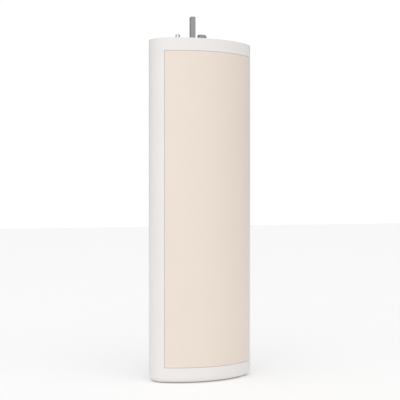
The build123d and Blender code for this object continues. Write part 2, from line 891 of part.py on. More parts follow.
def pan_screws(name, spots, length, radius, head_radius, head_height):
    """One group of like pan head screws, each with its head on a seat plane."""
    with BuildPart() as group:
        for seat in spots:
            with BuildSketch(seat):
                RegularPolygon(radius, screw_sides)
            extrude(amount=length)
            with BuildSketch(seat):
                RegularPolygon(head_radius, screw_sides)
            extrude(amount=-head_height)
    save(group, name)


# Screws that clamp the mounting plate and the cap to the gearbox cover's pads
plate_seats = [Plane(origin=(x, y, plate_top), z_dir=(0, 0, -1)) for x, y in plate_screw_spots]
pan_screws(
    "plate_screws",
    plate_seats,
    plate_top - gear_top - cover_thickness,
    screw_radius,
    screw_head_radius,
    screw_head_height,
)

# Pan head screws: spine to housing, bottom cap to feet, gearbox cover to towers
housing_seats = [Plane(origin=(x, spine_front, z), z_dir=(0, 1, 0)) for x, z in chassis_screw_spots]
housing_seats += [Plane(origin=(x, y, cap_screw_seat), z_dir=(0, 0, 1)) for x, y in cap_post_spots]
ear_top = gear_top + cover_thickness
housing_seats += [Plane(origin=(x, y, ear_top), z_dir=(0, 0, -1)) for x, y in tower_spots]
pan_screws(
    "housing_screws", housing_seats, screw_length, screw_radius, screw_head_radius, screw_head_height
)


def involute(angle):
    """The involute function of an angle in radians."""
    return tan(angle) - angle


def tooth_half_angle(teeth, radius, slack):
    """Half the angle that a tooth takes at a radius, on involute flanks."""
    pitch_radius = gear_module * teeth / 2
    base_radius = pitch_radius * cos(radians(pressure_angle))
    at_pitch = (pi * gear_module / 2 - slack) / (2 * pitch_radius)
    flank = acos(base_radius / radius) if radius > base_radius else 0.0
    return at_pitch + involute(radians(pressure_angle)) - involute(flank)


def gear_outline(teeth, above, below, slack, start, mode=Mode.ADD):
    """Toothed outline in the current sketch, with its first tooth at the start angle."""
    tip = gear_module * (teeth / 2 + above)
    root = gear_module * (teeth / 2 - below)
    points = []
    for tooth in range(teeth):
        middle = start + 2 * pi * tooth / teeth
        for radius, side in ((root, -1), (tip, -1), (tip, 1), (root, 1)):
            angle = middle + side * tooth_half_angle(teeth, radius, slack)
            points.append((radius * cos(angle), radius * sin(angle)))
    Polygon(*points, align=None, mode=mode)


# Gearbox ring: a steel tube with the inner teeth of both planetary stages
with BuildPart() as gearbox_ring:
    with BuildSketch(Plane((0, shaft_y, flange_top))):
        Circle(gearbox_radius)
        gear_outline(
            ring_teeth, dedendum, addendum, -ring_backlash, pi / ring_teeth, Mode.SUBTRACT
        )
    extrude(amount=gear_top - flange_top)
    with BuildSketch(Plane.XY.offset(flange_top)):
        with Locations(*gear_screw_spots):
            screw_hole(small_screw_radius, Mode.ADD)
    extrude(amount=gear_top - flange_top, mode=Mode.SUBTRACT)
save(gearbox_ring, "gearbox_ring")

# Motor flange: the steel plate that closes the gearbox over the motor
with BuildPart() as motor_flange:
    with BuildSketch(Plane((0, shaft_y, flange_low))):
        Circle(gearbox_radius)
        Circle(motor_boss_radius, mode=Mode.SUBTRACT)
    extrude(amount=flange_thickness)
    with BuildSketch(Plane.XY.offset(flange_low)):
        with Locations(*gear_screw_spots):
            screw_hole(small_screw_radius, Mode.ADD)
    extrude(amount=flange_thickness, mode=Mode.SUBTRACT)
save(motor_flange, "motor_flange")

# Long screws that clamp the cover, the ring and the flange together
gear_seats = [Plane(origin=(x, y, ear_top), z_dir=(0, 0, -1)) for x, y in gear_screw_spots]
pan_screws(
    "gearbox_screws",
    gear_seats,
    ear_top - flange_low,
    small_screw_radius,
    small_head_radius,
    small_head_height,
)

planet_angles = [place * 360 / planets for place in range(planets)]


def planet_gear(name, low, face, angle):
    """One planet gear on its carrier pin, in mesh with its sun and the ring."""
    across = (cos(radians(angle)), sin(radians(angle)), 0)
    middle = (planet_orbit * across[0], shaft_y + planet_orbit * across[1], low)
    with BuildPart() as planet:
        with BuildSketch(Plane(middle, across, (0, 0, 1))):
            gear_outline(planet_teeth, addendum, dedendum, backlash, pi / planet_teeth)
            Circle(planet_pin_radius + running_fit, mode=Mode.SUBTRACT)
        extrude(amount=face)
    save(planet, name)


# Planet gears: three sintered gears in each stage
for number, angle in enumerate(planet_angles, start=1):
    planet_gear("output_planet_" + str(number), output_gear_low, output_face, angle)
    planet_gear("input_planet_" + str(number), input_gear_low, input_face, angle)

# Output carrier: a steel disc with three riveted pins for the upper planets
with BuildPart() as output_carrier:
    with BuildSketch(Plane((0, shaft_y, output_carrier_low))):
        Circle(carrier_radius)
        Circle(journal_radius, mode=Mode.SUBTRACT)
    extrude(amount=output_carrier_thickness)
    with BuildSketch(Plane((0, shaft_y, output_gear_low - pin_tip))):
        with PolarLocations(planet_orbit, planets):
            Circle(planet_pin_radius)
    extrude(amount=output_face + pin_tip + carrier_gap)
save(output_carrier, "output_carrier")

# First carrier: one sintered piece with the upper stage's sun gear on top
with BuildPart() as first_carrier:
    with BuildSketch(Plane((0, shaft_y, first_carrier_low))):
        Circle(carrier_radius)
    extrude(amount=first_carrier_thickness)
    with BuildSketch(Plane((0, shaft_y, first_carrier_top))):
        gear_outline(sun_teeth, addendum, dedendum, backlash, 0)
    extrude(amount=output_gear_top - first_carrier_top)
    with BuildSketch(Plane((0, shaft_y, input_gear_low - pin_tip))):
        with PolarLocations(planet_orbit, planets):
            Circle(planet_pin_radius)
    extrude(amount=input_face + pin_tip + carrier_gap)
save(first_carrier, "first_carrier")

# Drive shaft: turned steel, round in its bearing and square above it
square_top = body_height + shaft_rise
with BuildPart() as drive_shaft:
    with BuildSketch(Plane((0, shaft_y, output_carrier_low))):
        Circle(journal_radius)
    extrude(amount=journal_top - output_carrier_low)
    with BuildSketch(Plane((0, shaft_y, output_carrier_top))):
        Circle(shoulder_radius)
    extrude(amount=bearing_bottom - output_carrier_top)
    with BuildSketch(Plane((0, shaft_y, journal_top))):
        Rectangle(square_size, square_size, rotation=-square_turn)
    extrude(amount=square_top - journal_top)
    chamfer(drive_shaft.faces().sort_by(Axis.Z)[-1].edges(), square_chamfer)
    with BuildSketch(Plane((0, shaft_y, bearing_top))):
        Circle(journal_radius)
        Circle(journal_radius - clip_depth, mode=Mode.SUBTRACT)
    extrude(amount=ring_clip_thickness, mode=Mode.SUBTRACT)
save(drive_shaft, "drive_shaft")

# Retaining ring in the shaft's groove, above the bearing
with BuildPart() as retaining_ring:
    with BuildSketch(Plane((0, shaft_y, bearing_top))):
        Circle(ring_clip_radius)
        Circle(journal_radius - clip_depth, mode=Mode.SUBTRACT)
        with Locations((0, ring_clip_radius)):
            Rectangle(clip_mouth, 2 * ring_clip_radius, mode=Mode.SUBTRACT)
    extrude(amount=ring_clip_thickness)
save(retaining_ring, "retaining_ring")

# Ball bearing in the cover's collar: its shielded outer ring, then its inner ring
inner_race_outside = journal_radius + bearing_race
with BuildPart() as shaft_bearing:
    with BuildSketch(Plane((0, shaft_y, bearing_bottom))):
        Circle(bearing_radius)
        Circle(inner_race_outside + shell_fit, mode=Mode.SUBTRACT)
    extrude(amount=bearing_width)
save(shaft_bearing, "shaft_bearing")

with BuildPart() as bearing_inner_ring:
    with BuildSketch(Plane((0, shaft_y, bearing_bottom))):
        Circle(inner_race_outside)
        Circle(journal_radius, mode=Mode.SUBTRACT)
    extrude(amount=bearing_width)
save(bearing_inner_ring, "bearing_inner_ring")

# Motor can: a drawn steel cup with a front boss, open at its lower end
with BuildPart() as motor_can:
    with BuildSketch(Plane((0, shaft_y, motor_low))):
        Circle(motor_radius)
    extrude(amount=motor_length)
    with BuildSketch(Plane((0, shaft_y, motor_low))):
        Circle(motor_radius - can_wall)
    extrude(amount=motor_length - can_wall, mode=Mode.SUBTRACT)
    with BuildSketch(Plane((0, shaft_y, motor_top - can_wall))):
        Circle(motor_boss_radius)
    extrude(amount=can_wall + boss_height)
    with BuildSketch(Plane((0, shaft_y, motor_top - can_wall))):
        Circle(bush_radius)
    extrude(amount=can_wall + boss_height, mode=Mode.SUBTRACT)
save(motor_can, "motor_can")

# Two arc magnets glued inside the can
with BuildPart() as motor_magnets:
    with BuildSketch(Plane((0, shaft_y, rotor_middle - magnet_length / 2))):
        Circle(magnet_outer)
        Circle(magnet_outer - magnet_thickness, mode=Mode.SUBTRACT)
        gap_x = magnet_outer * cos(radians(magnet_spread))
        Rectangle(2 * gap_x, 2 * motor_radius, mode=Mode.SUBTRACT)
    extrude(amount=magnet_length)
save(motor_magnets, "motor_magnets")

# End bell: the moulded lower end of the motor, with brush holders and sensor board posts
with BuildPart() as motor_end_bell:
    with BuildSketch(Plane((0, shaft_y, bell_low))):
        Circle(motor_radius)
    extrude(amount=end_bell_thickness)
    with BuildSketch(Plane((0, shaft_y, motor_low))):
        Circle(motor_radius - can_wall - running_fit)
    extrude(amount=bell_plug)
    with BuildSketch(Plane((0, shaft_y, motor_low))):
        with PolarLocations(commutator_radius + holder_wall + holder_length / 2, 2):
            Rectangle(holder_length, brush_width + 2 * holder_wall)
    extrude(amount=brush_low + brush_height + holder_wall - motor_low)
    with BuildSketch(Plane((0, shaft_y, brush_low))):
        Rectangle(brush_slot, brush_width)
    extrude(amount=brush_height, mode=Mode.SUBTRACT)
    with BuildSketch(Plane((0, shaft_y, encoder_board_top))):
        with PolarLocations(encoder_post_circle, encoder_posts, 90):
            Rectangle(encoder_post_size, encoder_post_size)
    extrude(amount=bell_low - encoder_board_top)
    with BuildSketch(Plane((0, shaft_y, bell_low))):
        Circle(bush_radius)
    extrude(amount=bush_length, mode=Mode.SUBTRACT)
    with BuildSketch(Plane((0, shaft_y, bell_low))):
        Circle(rotor_shaft_radius + saddle_gap)
    extrude(amount=end_bell_thickness + bell_plug, mode=Mode.SUBTRACT)
save(motor_end_bell, "motor_end_bell")

# Carbon brushes, one each side of the commutator
with BuildPart() as motor_brushes:
    with BuildSketch(Plane((0, shaft_y, brush_low))):
        with PolarLocations(commutator_radius + brush_length / 2, 2):
            Rectangle(brush_length, brush_width)
        Circle(commutator_radius + brush_gap, mode=Mode.SUBTRACT)
    extrude(amount=brush_height)
save(motor_brushes, "motor_brushes")

# Bronze bushes at both ends of the rotor's shaft
with BuildPart() as motor_bushes:
    for low in (motor_top + boss_height - bush_length, bell_low):
        with BuildSketch(Plane((0, shaft_y, low))):
            Circle(bush_radius)
            Circle(rotor_shaft_radius + running_fit, mode=Mode.SUBTRACT)
        extrude(amount=bush_length)
save(motor_bushes, "motor_bushes")

# Rotor: shaft, pinion, laminated core, coils, commutator and the sensor magnet
with BuildPart() as rotor_shaft:
    with BuildSketch(Plane((0, shaft_y, encoder_disc_low))):
        Circle(rotor_shaft_radius)
    extrude(amount=input_gear_top - encoder_disc_low)
save(rotor_shaft, "rotor_shaft")

with BuildPart() as motor_pinion:
    with BuildSketch(Plane((0, shaft_y, input_gear_low - carrier_gap))):
        gear_outline(sun_teeth, addendum, dedendum, backlash, 0)
        Circle(rotor_shaft_radius, mode=Mode.SUBTRACT)
    extrude(amount=input_face + carrier_gap)
save(motor_pinion, "motor_pinion")

slot_turn = radians(180 / rotor_slots)


def beside_tooth(along):
    """A point on a rotor tooth's side, seen from the middle of the slot beside it."""
    half = rotor_tooth_width / 2
    return (
        along * cos(slot_turn) + half * sin(slot_turn),
        along * sin(slot_turn) - half * cos(slot_turn),
    )


slot_root = beside_tooth(rotor_hub_radius)
slot_shoulder = beside_tooth(rotor_radius - rotor_shoe)
with BuildPart() as rotor_core:
    with BuildSketch(Plane((0, shaft_y, rotor_middle - rotor_length / 2))):
        Circle(rotor_radius)
        with PolarLocations(0, rotor_slots, degrees(slot_turn)):
            Polygon(
                slot_root,
                slot_shoulder,
                (rotor_radius - rotor_shoe, 0),
                (slot_shoulder[0], -slot_shoulder[1]),
                (slot_root[0], -slot_root[1]),
                align=None,
                mode=Mode.SUBTRACT,
            )
        with PolarLocations(rotor_radius, rotor_slots, degrees(slot_turn)):
            Rectangle(rotor_mouth_depth, rotor_slot_mouth, mode=Mode.SUBTRACT)
        Circle(rotor_shaft_radius, mode=Mode.SUBTRACT)
    extrude(amount=rotor_length)
save(rotor_core, "rotor_core")

coil_inside = rotor_hub_radius + coil_fit
coil_outside = rotor_radius - rotor_shoe - coil_drop
coil_middle = (coil_inside + coil_outside) / 2
with BuildPart() as rotor_windings:
    with Locations((0, shaft_y, rotor_middle)):
        with PolarLocations(coil_middle, rotor_slots):
            Box(
                coil_outside - coil_inside,
                rotor_tooth_width + 2 * coil_thickness,
                rotor_length + 2 * coil_overhang,
            )
        with PolarLocations(coil_middle, rotor_slots):
            Box(
                coil_outside - coil_inside,
                rotor_tooth_width,
                rotor_length,
                mode=Mode.SUBTRACT,
            )
save(rotor_windings, "rotor_windings")

with BuildPart() as commutator:
    with BuildSketch(Plane((0, shaft_y, brush_low - brush_height / 2))):
        Circle(commutator_radius)
        with PolarLocations(commutator_radius, rotor_slots):
            Rectangle(2 * commutator_slit, commutator_slit, mode=Mode.SUBTRACT)
        Circle(rotor_shaft_radius, mode=Mode.SUBTRACT)
    extrude(amount=commutator_length)
save(commutator, "commutator")

with BuildPart() as encoder_magnet:
    with BuildSketch(Plane((0, shaft_y, encoder_disc_low))):
        Circle(encoder_disc_radius)
        Circle(rotor_shaft_radius, mode=Mode.SUBTRACT)
    extrude(amount=encoder_disc_thickness)
save(encoder_magnet, "encoder_magnet")

# Sensor board on the end bell's posts, with two field sensors under it
with BuildPart() as encoder_board:
    with BuildSketch(Plane((0, shaft_y, encoder_board_low))):
        Circle(encoder_board_radius)
    extrude(amount=encoder_board_thickness)
    with BuildSketch(Plane((0, shaft_y, encoder_board_low))):
        with PolarLocations(encoder_disc_radius, 2):
            Rectangle(sensor_width, sensor_height)
    extrude(amount=-encoder_board_thickness)
save(encoder_board, "encoder_board")

# Rubber rings that hold the motor in its saddles
with BuildPart() as motor_isolators:
    for low in isolator_lows:
        with BuildSketch(Plane((0, shaft_y, low))):
            Circle(isolator_radius)
            Circle(motor_radius, mode=Mode.SUBTRACT)
        extrude(amount=isolator_width)
save(motor_isolators, "motor_isolators")

# Mains inlet: a moulded two pin inlet with a figure-eight mouth, flange inside the cap
with BuildPart() as mains_inlet:
    with BuildSketch(Plane((inlet_x, inlet_y, recess))):
        RectangleRounded(inlet_width, inlet_depth, inlet_corner)
    extrude(amount=inlet_height)
    with BuildSketch(Plane((inlet_x, inlet_y, cap_floor))):
        RectangleRounded(
            inlet_width + 2 * inlet_flange, inlet_depth + 2 * inlet_flange, inlet_corner
        )
    extrude(amount=inlet_flange_thickness)
    with BuildSketch(Plane((inlet_x, inlet_y, recess))):
        with Locations((-inlet_eye_x, 0), (inlet_eye_x, 0)):
            Circle(inlet_mouth_depth / 2)
        Rectangle(2 * inlet_eye_x, inlet_waist)
    extrude(amount=inlet_mouth_height, mode=Mode.SUBTRACT)
    with BuildSketch(Plane((inlet_x, inlet_y, recess))):
        with GridLocations(inlet_pin_pitch, 0, 2, 1):
            Circle(inlet_pin_radius)
    extrude(amount=inlet_height, mode=Mode.SUBTRACT)
save(mains_inlet, "mains_inlet")

with BuildPart() as inlet_pins:
    pin_low = recess + inlet_mouth_height - inlet_pin_length
    with BuildSketch(Plane((inlet_x, inlet_y, pin_low))):
        with GridLocations(inlet_pin_pitch, 0, 2, 1):
            Circle(inlet_pin_radius)
    extrude(amount=inlet_top - pin_low)
    with BuildSketch(Plane((inlet_x, inlet_y, inlet_top))):
        with GridLocations(inlet_pin_pitch, 0, 2, 1):
            Rectangle(lead_core, 2 * inlet_pin_radius)
    extrude(amount=inlet_tail)
save(inlet_pins, "inlet_pins")

# Socket board: a small board over the cap that carries the control socket and the switch
socket_board_front = jack_y - socket_reach_front
socket_board_back = jack_y + socket_reach_back
with BuildPart() as socket_board:
    with BuildSketch(Plane.XY.offset(socket_board_low)):
        block(
            jack_x - socket_reach_left,
            jack_x + socket_reach_right,
            socket_board_front,
            socket_board_back,
        )
        with Locations(*socket_post_spots):
            screw_hole(small_screw_radius)
    extrude(amount=board_thickness)
    with BuildSketch(Plane((light_x, controls_y, socket_board_low))):
        Rectangle(status_light_size, status_light_size)
    extrude(amount=-status_light_height)
save(socket_board, "socket_board")

with BuildPart() as control_socket:
    with BuildSketch(Plane((jack_x, jack_y, recess))):
        Rectangle(jack_width, jack_depth)
    extrude(amount=jack_height)
    with BuildSketch(Plane((jack_x, jack_y, recess))):
        Rectangle(jack_mouth_width, jack_mouth_depth)
        with Locations((0, -(jack_mouth_depth + jack_key_depth) / 2)):
            Rectangle(jack_key_width, jack_key_depth)
    extrude(amount=jack_mouth_height, mode=Mode.SUBTRACT)
save(control_socket, "control_socket")

# Sprung gold contacts along the back of the control socket's mouth
contact_low = recess + contact_thickness * 2
contact_high = recess + jack_mouth_height
contact_back = jack_y + jack_mouth_depth / 2
with BuildPart() as socket_contacts:
    for place in range(contact_count):
        contact_x = jack_x + (place - (contact_count - 1) / 2) * contact_pitch
        with BuildSketch(Plane.YZ.offset(contact_x - contact_thickness / 2)):
            Polygon(
                (contact_back, contact_low),
                (contact_back, contact_low + 2 * contact_thickness),
                (contact_back - contact_slant, contact_high),
                (contact_back - contact_slant - 2 * contact_thickness, contact_high),
                align=None,
            )
        extrude(amount=contact_thickness)
save(socket_contacts, "socket_contacts")

# Push switch on the board, and the round button that works it from below
switch_low = socket_board_low - switch_height
with BuildPart() as tact_switch:
    with BuildSketch(Plane((button_x, controls_y, switch_low))):
        Rectangle(switch_size, switch_size)
    extrude(amount=switch_height)
    with BuildSketch(Plane((button_x, controls_y, switch_low))):
        Circle(button_stem_radius + button_fit)
    extrude(amount=2 * button_travel, mode=Mode.SUBTRACT)
save(tact_switch, "tact_switch")

with BuildPart() as program_button:
    with BuildSketch(Plane((button_x, controls_y, recess))):
        Circle(button_radius)
    extrude(amount=cap_floor + button_fit / 2 - recess)
    with BuildSketch(Plane((button_x, controls_y, cap_floor + button_fit / 2))):
        Circle(button_flange_radius)
    extrude(amount=button_flange_thickness)
    with BuildSketch(Plane((button_x, controls_y, cap_floor + button_fit / 2))):
        Circle(button_stem_radius)
    extrude(amount=switch_low + button_travel / 2 - cap_floor)
save(program_button, "program_button")

# Light pipe: clear rod from the board's status light down to the cap's outer face
with BuildPart() as light_pipe:
    with BuildSketch(Plane((light_x, controls_y, recess))):
        Circle(light_radius)
    extrude(amount=socket_board_low - status_light_height - recess)
    with BuildSketch(Plane((light_x, controls_y, cap_floor))):
        Circle(light_head_radius)
    extrude(amount=light_head_height)
save(light_pipe, "light_pipe")

# Lever spring: one bent strip that bears on the post, the pivot head and the tab
spring_z = lever_high + spring_lift
spring_clear = spring_strip / 2 + spring_play
post_front = spring_post_spot[1] - spring_post_radius - spring_clear
head_back = pivot_y + pivot_head_radius + spring_clear
tab_left = tab_x - lever_thickness - spring_clear - spring_tab_play
tab_front = tab_y - tab_width / 2 - spring_clear - spring_tab_play
with BuildPart() as lever_spring:
    with BuildLine():
        spring_path = FilletPolyline(
            (spring_post_spot[0] - spring_hook, post_front, spring_z),
            (spring_post_spot[0] + spring_post_radius, post_front, spring_z),
            (lever_pivot_x - spring_run, head_back, spring_z),
            (lever_pivot_x + spring_run, head_back, spring_z),
            (tab_left, tab_y + spring_run, spring_z),
            (tab_left, tab_front, spring_z),
            (tab_left + spring_hook, tab_front, spring_z),
            radius=spring_bend,
        )
    with BuildSketch(Plane(spring_path @ 0, (0, 1, 0), spring_path % 0)):
        Rectangle(spring_strip, spring_strip_height, align=(Align.CENTER, Align.MIN))
    sweep()
save(lever_spring, "lever_spring")

# Main board in front of the spine, and power board behind it
with BuildPart() as main_board:
    with BuildSketch(Plane.XZ.offset(-main_board_back)):
        with Locations((0, main_board_bottom + main_board_height / 2)):
            Rectangle(main_board_width, main_board_height)
        with Locations(*main_post_spots):
            screw_hole(small_screw_radius)
    extrude(amount=board_thickness)
save(main_board, "main_board")

with BuildPart() as power_board:
    with BuildSketch(Plane.XZ.offset(-power_board_front)):
        with Locations((0, power_board_bottom + power_board_height / 2)):
            Rectangle(power_board_width, power_board_height)
        with Locations(*power_post_spots):
            screw_hole(small_screw_radius)
    extrude(amount=-board_thickness)
save(power_board, "power_board")

# Small screws that hold the three boards on their posts
board_seats = [Plane(origin=(x, main_board_front, z), z_dir=(0, 1, 0)) for x, z in main_post_spots]
board_seats += [
    Plane(origin=(x, power_board_back, z), z_dir=(0, -1, 0)) for x, z in power_post_spots
]
board_seats += [
    Plane(origin=(x, y, socket_board_top), z_dir=(0, 0, -1)) for x, y in socket_post_spots
]
pan_screws(
    "board_screws",
    board_seats,
    small_screw_length,
    small_screw_radius,
    small_head_radius,
    small_head_height,
)

# Chips soldered to the front of the main board
with BuildPart() as board_chips:
    for x, z, width, height, thickness in chip_table:
        with BuildSketch(Plane.XZ.offset(-main_board_front)):
            with Locations((x, z)):
                Rectangle(width, height)
        extrude(amount=thickness)
save(board_chips, "board_chips")

# Radio module: its own small board with a metal shield
with BuildPart() as radio_module:
    with BuildSketch(Plane.XZ.offset(-main_board_front)):
        with Locations((0, radio_z)):
            Rectangle(radio_width, radio_height)
    extrude(amount=radio_board)
    with BuildSketch(Plane.XZ.offset(-main_board_front)):
        with Locations((0, radio_z - shield_drop)):
            Rectangle(shield_width, shield_height)
    extrude(amount=radio_board + shield_depth)
save(radio_module, "radio_module")

# Transformer: bobbin, winding and ferrite core, potted into one piece
with BuildPart() as transformer:
    for width, height, depth in (
        (bobbin_width, bobbin_height, bobbin_depth),
        (winding_width, winding_height, winding_depth),
        (core_width, core_height, core_depth),
    ):
        with BuildSketch(Plane.XZ.offset(-power_board_back)):
            with Locations((transformer_x, transformer_z)):
                Rectangle(width, height)
        extrude(amount=-depth)
save(transformer, "transformer")

# Capacitors on the power board: two round electrolytic ones and a film box
with BuildPart() as capacitors:
    with BuildSketch(Plane.XZ.offset(-power_board_back)):
        with Locations(*[(capacitor_x, z) for z in capacitor_heights]):
            Circle(capacitor_radius)
    extrude(amount=-capacitor_length)
    with BuildSketch(Plane.XZ.offset(-power_board_back)):
        with Locations((film_x, film_z)):
            Rectangle(film_width, film_height)
    extrude(amount=-film_depth)
save(capacitors, "capacitors")

# Plug housings: motor and supply leads on the power board, control leads on the main one
motor_plug_top = motor_plug_low + motor_plug_height
control_plug_top = control_plug_low + control_plug_height
with BuildPart() as board_connectors:
    with BuildSketch(Plane.XZ.offset(-power_board_back)):
        block(-motor_plug_width / 2, motor_plug_width / 2, motor_plug_low, motor_plug_top)
    extrude(amount=-motor_plug_depth)
    with BuildSketch(Plane.XZ.offset(-main_board_front)):
        block(
            jack_x - control_plug_width / 2,
            jack_x + control_plug_width / 2,
            control_plug_low,
            control_plug_top,
        )
    extrude(amount=control_plug_depth)
save(board_connectors, "board_connectors")


def flat_cable(points, cores, core_width, bend):
    """One flat cable of side by side cores, with tangent bends at its corners."""
    with BuildLine(Plane.XY) as path:
        FilletPolyline(*points, radius=bend)
    start = Plane(path.line @ 0, (1, 0, 0), path.line % 0)
    with BuildSketch(start) as section:
        Rectangle(cores * core_width, core_width)
    sweep(section.sketch, path.line)


# Power leads: mains from the inlet, flat pairs to the motor and to the main board
tail_top = inlet_top + inlet_tail
plug_lead_y = power_board_back + motor_plug_depth / 2
plug_lead_x = motor_plug_width / 4
with BuildPart() as power_leads:
    for side in (-1, 1):
        tail_x = inlet_x + side * inlet_pin_pitch / 2
        mains_points = (
            (tail_x, inlet_y, tail_top),
            (tail_x, inlet_y, mains_lead_z),
            (tail_x, power_board_back, mains_lead_z),
        )
        flat_cable(mains_points, 1, lead_core, lead_bend)
    motor_points = (
        (-plug_lead_x, shaft_y + motor_lead_back, bell_low),
        (-plug_lead_x, shaft_y + motor_lead_back, bell_low - plug_lead_straight),
        (-plug_lead_x, plug_lead_y, motor_plug_top + plug_lead_straight),
        (-plug_lead_x, plug_lead_y, motor_plug_top),
    )
    flat_cable(motor_points, 2, lead_core, lead_bend)
    supply_points = (
        (plug_lead_x, plug_lead_y, motor_plug_top),
        (plug_lead_x, plug_lead_y, supply_lead_z),
        (plug_lead_x, main_board_back, supply_lead_z),
    )
    flat_cable(supply_points, 2, lead_core, lead_bend)
save(power_leads, "power_leads")

# Signal leads: ribbons from the motor's sensor board and from the control socket
sensor_lead_y = shaft_y - sensor_lead_front
control_lead_y = socket_board_front + control_lead_front
control_plug_y = main_board_front - control_plug_depth / 2
with BuildPart() as signal_leads:
    sensor_points = (
        (0, sensor_lead_y, encoder_board_low),
        (0, sensor_lead_y, sensor_lead_z),
        (0, main_board_back, sensor_lead_z),
    )
    flat_cable(sensor_points, sensor_lead_cores, signal_core, signal_bend)
    control_points = (
        (jack_x, control_lead_y, socket_board_top),
        (jack_x, control_lead_y, socket_board_top + control_lead_rise),
        (jack_x, control_plug_y, control_plug_low - plug_lead_straight),
        (jack_x, control_plug_y, control_plug_low),
    )
    flat_cable(control_points, contact_count, signal_core, signal_bend)
save(signal_leads, "signal_leads")
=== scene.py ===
import json
from math import atan2, copysign, cos, pi, radians, sqrt, tan

import bmesh
import bpy
from mathutils import Matrix, Vector


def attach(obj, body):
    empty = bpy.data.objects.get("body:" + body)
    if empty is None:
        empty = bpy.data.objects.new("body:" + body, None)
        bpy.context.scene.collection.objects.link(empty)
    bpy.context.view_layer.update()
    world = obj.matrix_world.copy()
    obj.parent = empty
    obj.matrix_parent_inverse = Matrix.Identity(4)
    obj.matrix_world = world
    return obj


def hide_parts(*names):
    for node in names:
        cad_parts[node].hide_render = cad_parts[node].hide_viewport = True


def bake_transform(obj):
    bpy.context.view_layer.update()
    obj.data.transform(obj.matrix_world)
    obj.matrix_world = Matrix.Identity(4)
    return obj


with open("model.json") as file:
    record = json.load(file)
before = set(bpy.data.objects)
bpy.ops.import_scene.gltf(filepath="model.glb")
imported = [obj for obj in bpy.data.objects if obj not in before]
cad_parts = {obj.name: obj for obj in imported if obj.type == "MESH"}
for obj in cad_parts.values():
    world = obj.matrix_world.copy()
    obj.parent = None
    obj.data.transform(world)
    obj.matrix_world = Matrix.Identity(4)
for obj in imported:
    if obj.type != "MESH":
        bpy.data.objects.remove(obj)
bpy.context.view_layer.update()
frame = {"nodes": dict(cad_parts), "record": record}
cad = frame["nodes"]
record = frame["record"]
body_of = {name: body for body, names in record["behaviour"]["bodies"].items() for name in names}

# Chassis: the black spine that the gearbox, the boards and the lower cap are screwed to.
# It is injection moulded in glass filled nylon: a dull skin, slightly mottled where
# fibres reach the surface, with a small radius on every moulded edge.


def group_socket(group, name, kind, way="INPUT", value=None):
    """One named socket on a shader group, with its starting value."""
    socket = group.interface.new_socket(name, in_out=way, socket_type=kind)
    if value is not None:
        socket.default_value = value
    return socket


def skin_sockets(group):
    """What every skin group takes and gives: a place and two colours in, a surface out."""
    group_socket(group, "Place", "NodeSocketVector")
    group_socket(group, "Colour", "NodeSocketColor")
    group_socket(group, "Second colour", "NodeSocketColor")
    group_socket(group, "Least roughness", "NodeSocketFloat", value=0.35)
    group_socket(group, "Most roughness", "NodeSocketFloat", value=0.45)
    group_socket(group, "Skin colour", "NodeSocketColor", "OUTPUT")
    group_socket(group, "Skin roughness", "NodeSocketFloat", "OUTPUT")
    group_socket(group, "Skin height", "NodeSocketFloat", "OUTPUT")
    return group.nodes.new("NodeGroupInput"), group.nodes.new("NodeGroupOutput")


def tint_and_gloss(group, given, made, mask):
    """Lets a mask from 0 to 1 blend both colours and both roughness values."""
    nodes, link = group.nodes, group.links.new
    tint = nodes.new("ShaderNodeMix")
    tint.data_type = "RGBA"
    link(mask, tint.inputs["Factor"])
    link(given.outputs["Colour"], tint.inputs[6])
    link(given.outputs["Second colour"], tint.inputs[7])
    link(tint.outputs[2], made.inputs["Skin colour"])
    gloss = nodes.new("ShaderNodeMapRange")
    link(mask, gloss.inputs["Value"])
    link(given.outputs["Least roughness"], gloss.inputs["To Min"])
    link(given.outputs["Most roughness"], gloss.inputs["To Max"])
    link(gloss.outputs["Result"], made.inputs["Skin roughness"])


def moulded_skin_group():
    """Moulded plastic: a slow drift of tint, and a fine spark eroded grain."""
    group = bpy.data.node_groups.new("moulded skin", "ShaderNodeTree")
    group_socket(group, "Drift size", "NodeSocketFloat", value=30.0)
    group_socket(group, "Grain size", "NodeSocketFloat", value=2500.0)
    given, made = skin_sockets(group)
    nodes, link = group.nodes, group.links.new
    drift = nodes.new("ShaderNodeTexNoise")
    drift.inputs["Detail"].default_value = 3.0
    link(given.outputs["Place"], drift.inputs["Vector"])
    link(given.outputs["Drift size"], drift.inputs["Scale"])
    tint_and_gloss(group, given, made, drift.outputs["Fac"])
    grain = nodes.new("ShaderNodeTexNoise")
    grain.inputs["Detail"].default_value = 2.0
    link(given.outputs["Place"], grain.inputs["Vector"])
    link(given.outputs["Grain size"], grain.inputs["Scale"])
    link(grain.outputs["Fac"], made.inputs["Skin height"])
    return group


moulded_skin = moulded_skin_group()


def skinned(name, skin_group, colours, gloss, bump_strength, bump_depth):
    """A material that wears a skin group, with its shader left open for constants."""
    finish = bpy.data.materials.new(name)
    finish.use_nodes = True
    tree = finish.node_tree
    shader = tree.nodes["Principled BSDF"]
    place = tree.nodes.new("ShaderNodeTexCoord")
    skin = tree.nodes.new("ShaderNodeGroup")
    skin.node_tree = skin_group
    skin.inputs["Colour"].default_value = (*colours[0], 1.0)
    skin.inputs["Second colour"].default_value = (*colours[1], 1.0)
    skin.inputs["Least roughness"].default_value = gloss[0]
    skin.inputs["Most roughness"].default_value = gloss[1]
    link = tree.links.new
    link(place.outputs["Object"], skin.inputs["Place"])
    link(skin.outputs["Skin colour"], shader.inputs["Base Color"])
    link(skin.outputs["Skin roughness"], shader.inputs["Roughness"])
    bump = tree.nodes.new("ShaderNodeBump")
    bump.inputs["Strength"].default_value = bump_strength
    bump.inputs["Distance"].default_value = bump_depth
    link(skin.outputs["Skin height"], bump.inputs["Height"])
    link(bump.outputs["Normal"], shader.inputs["Normal"])
    return finish, shader, skin


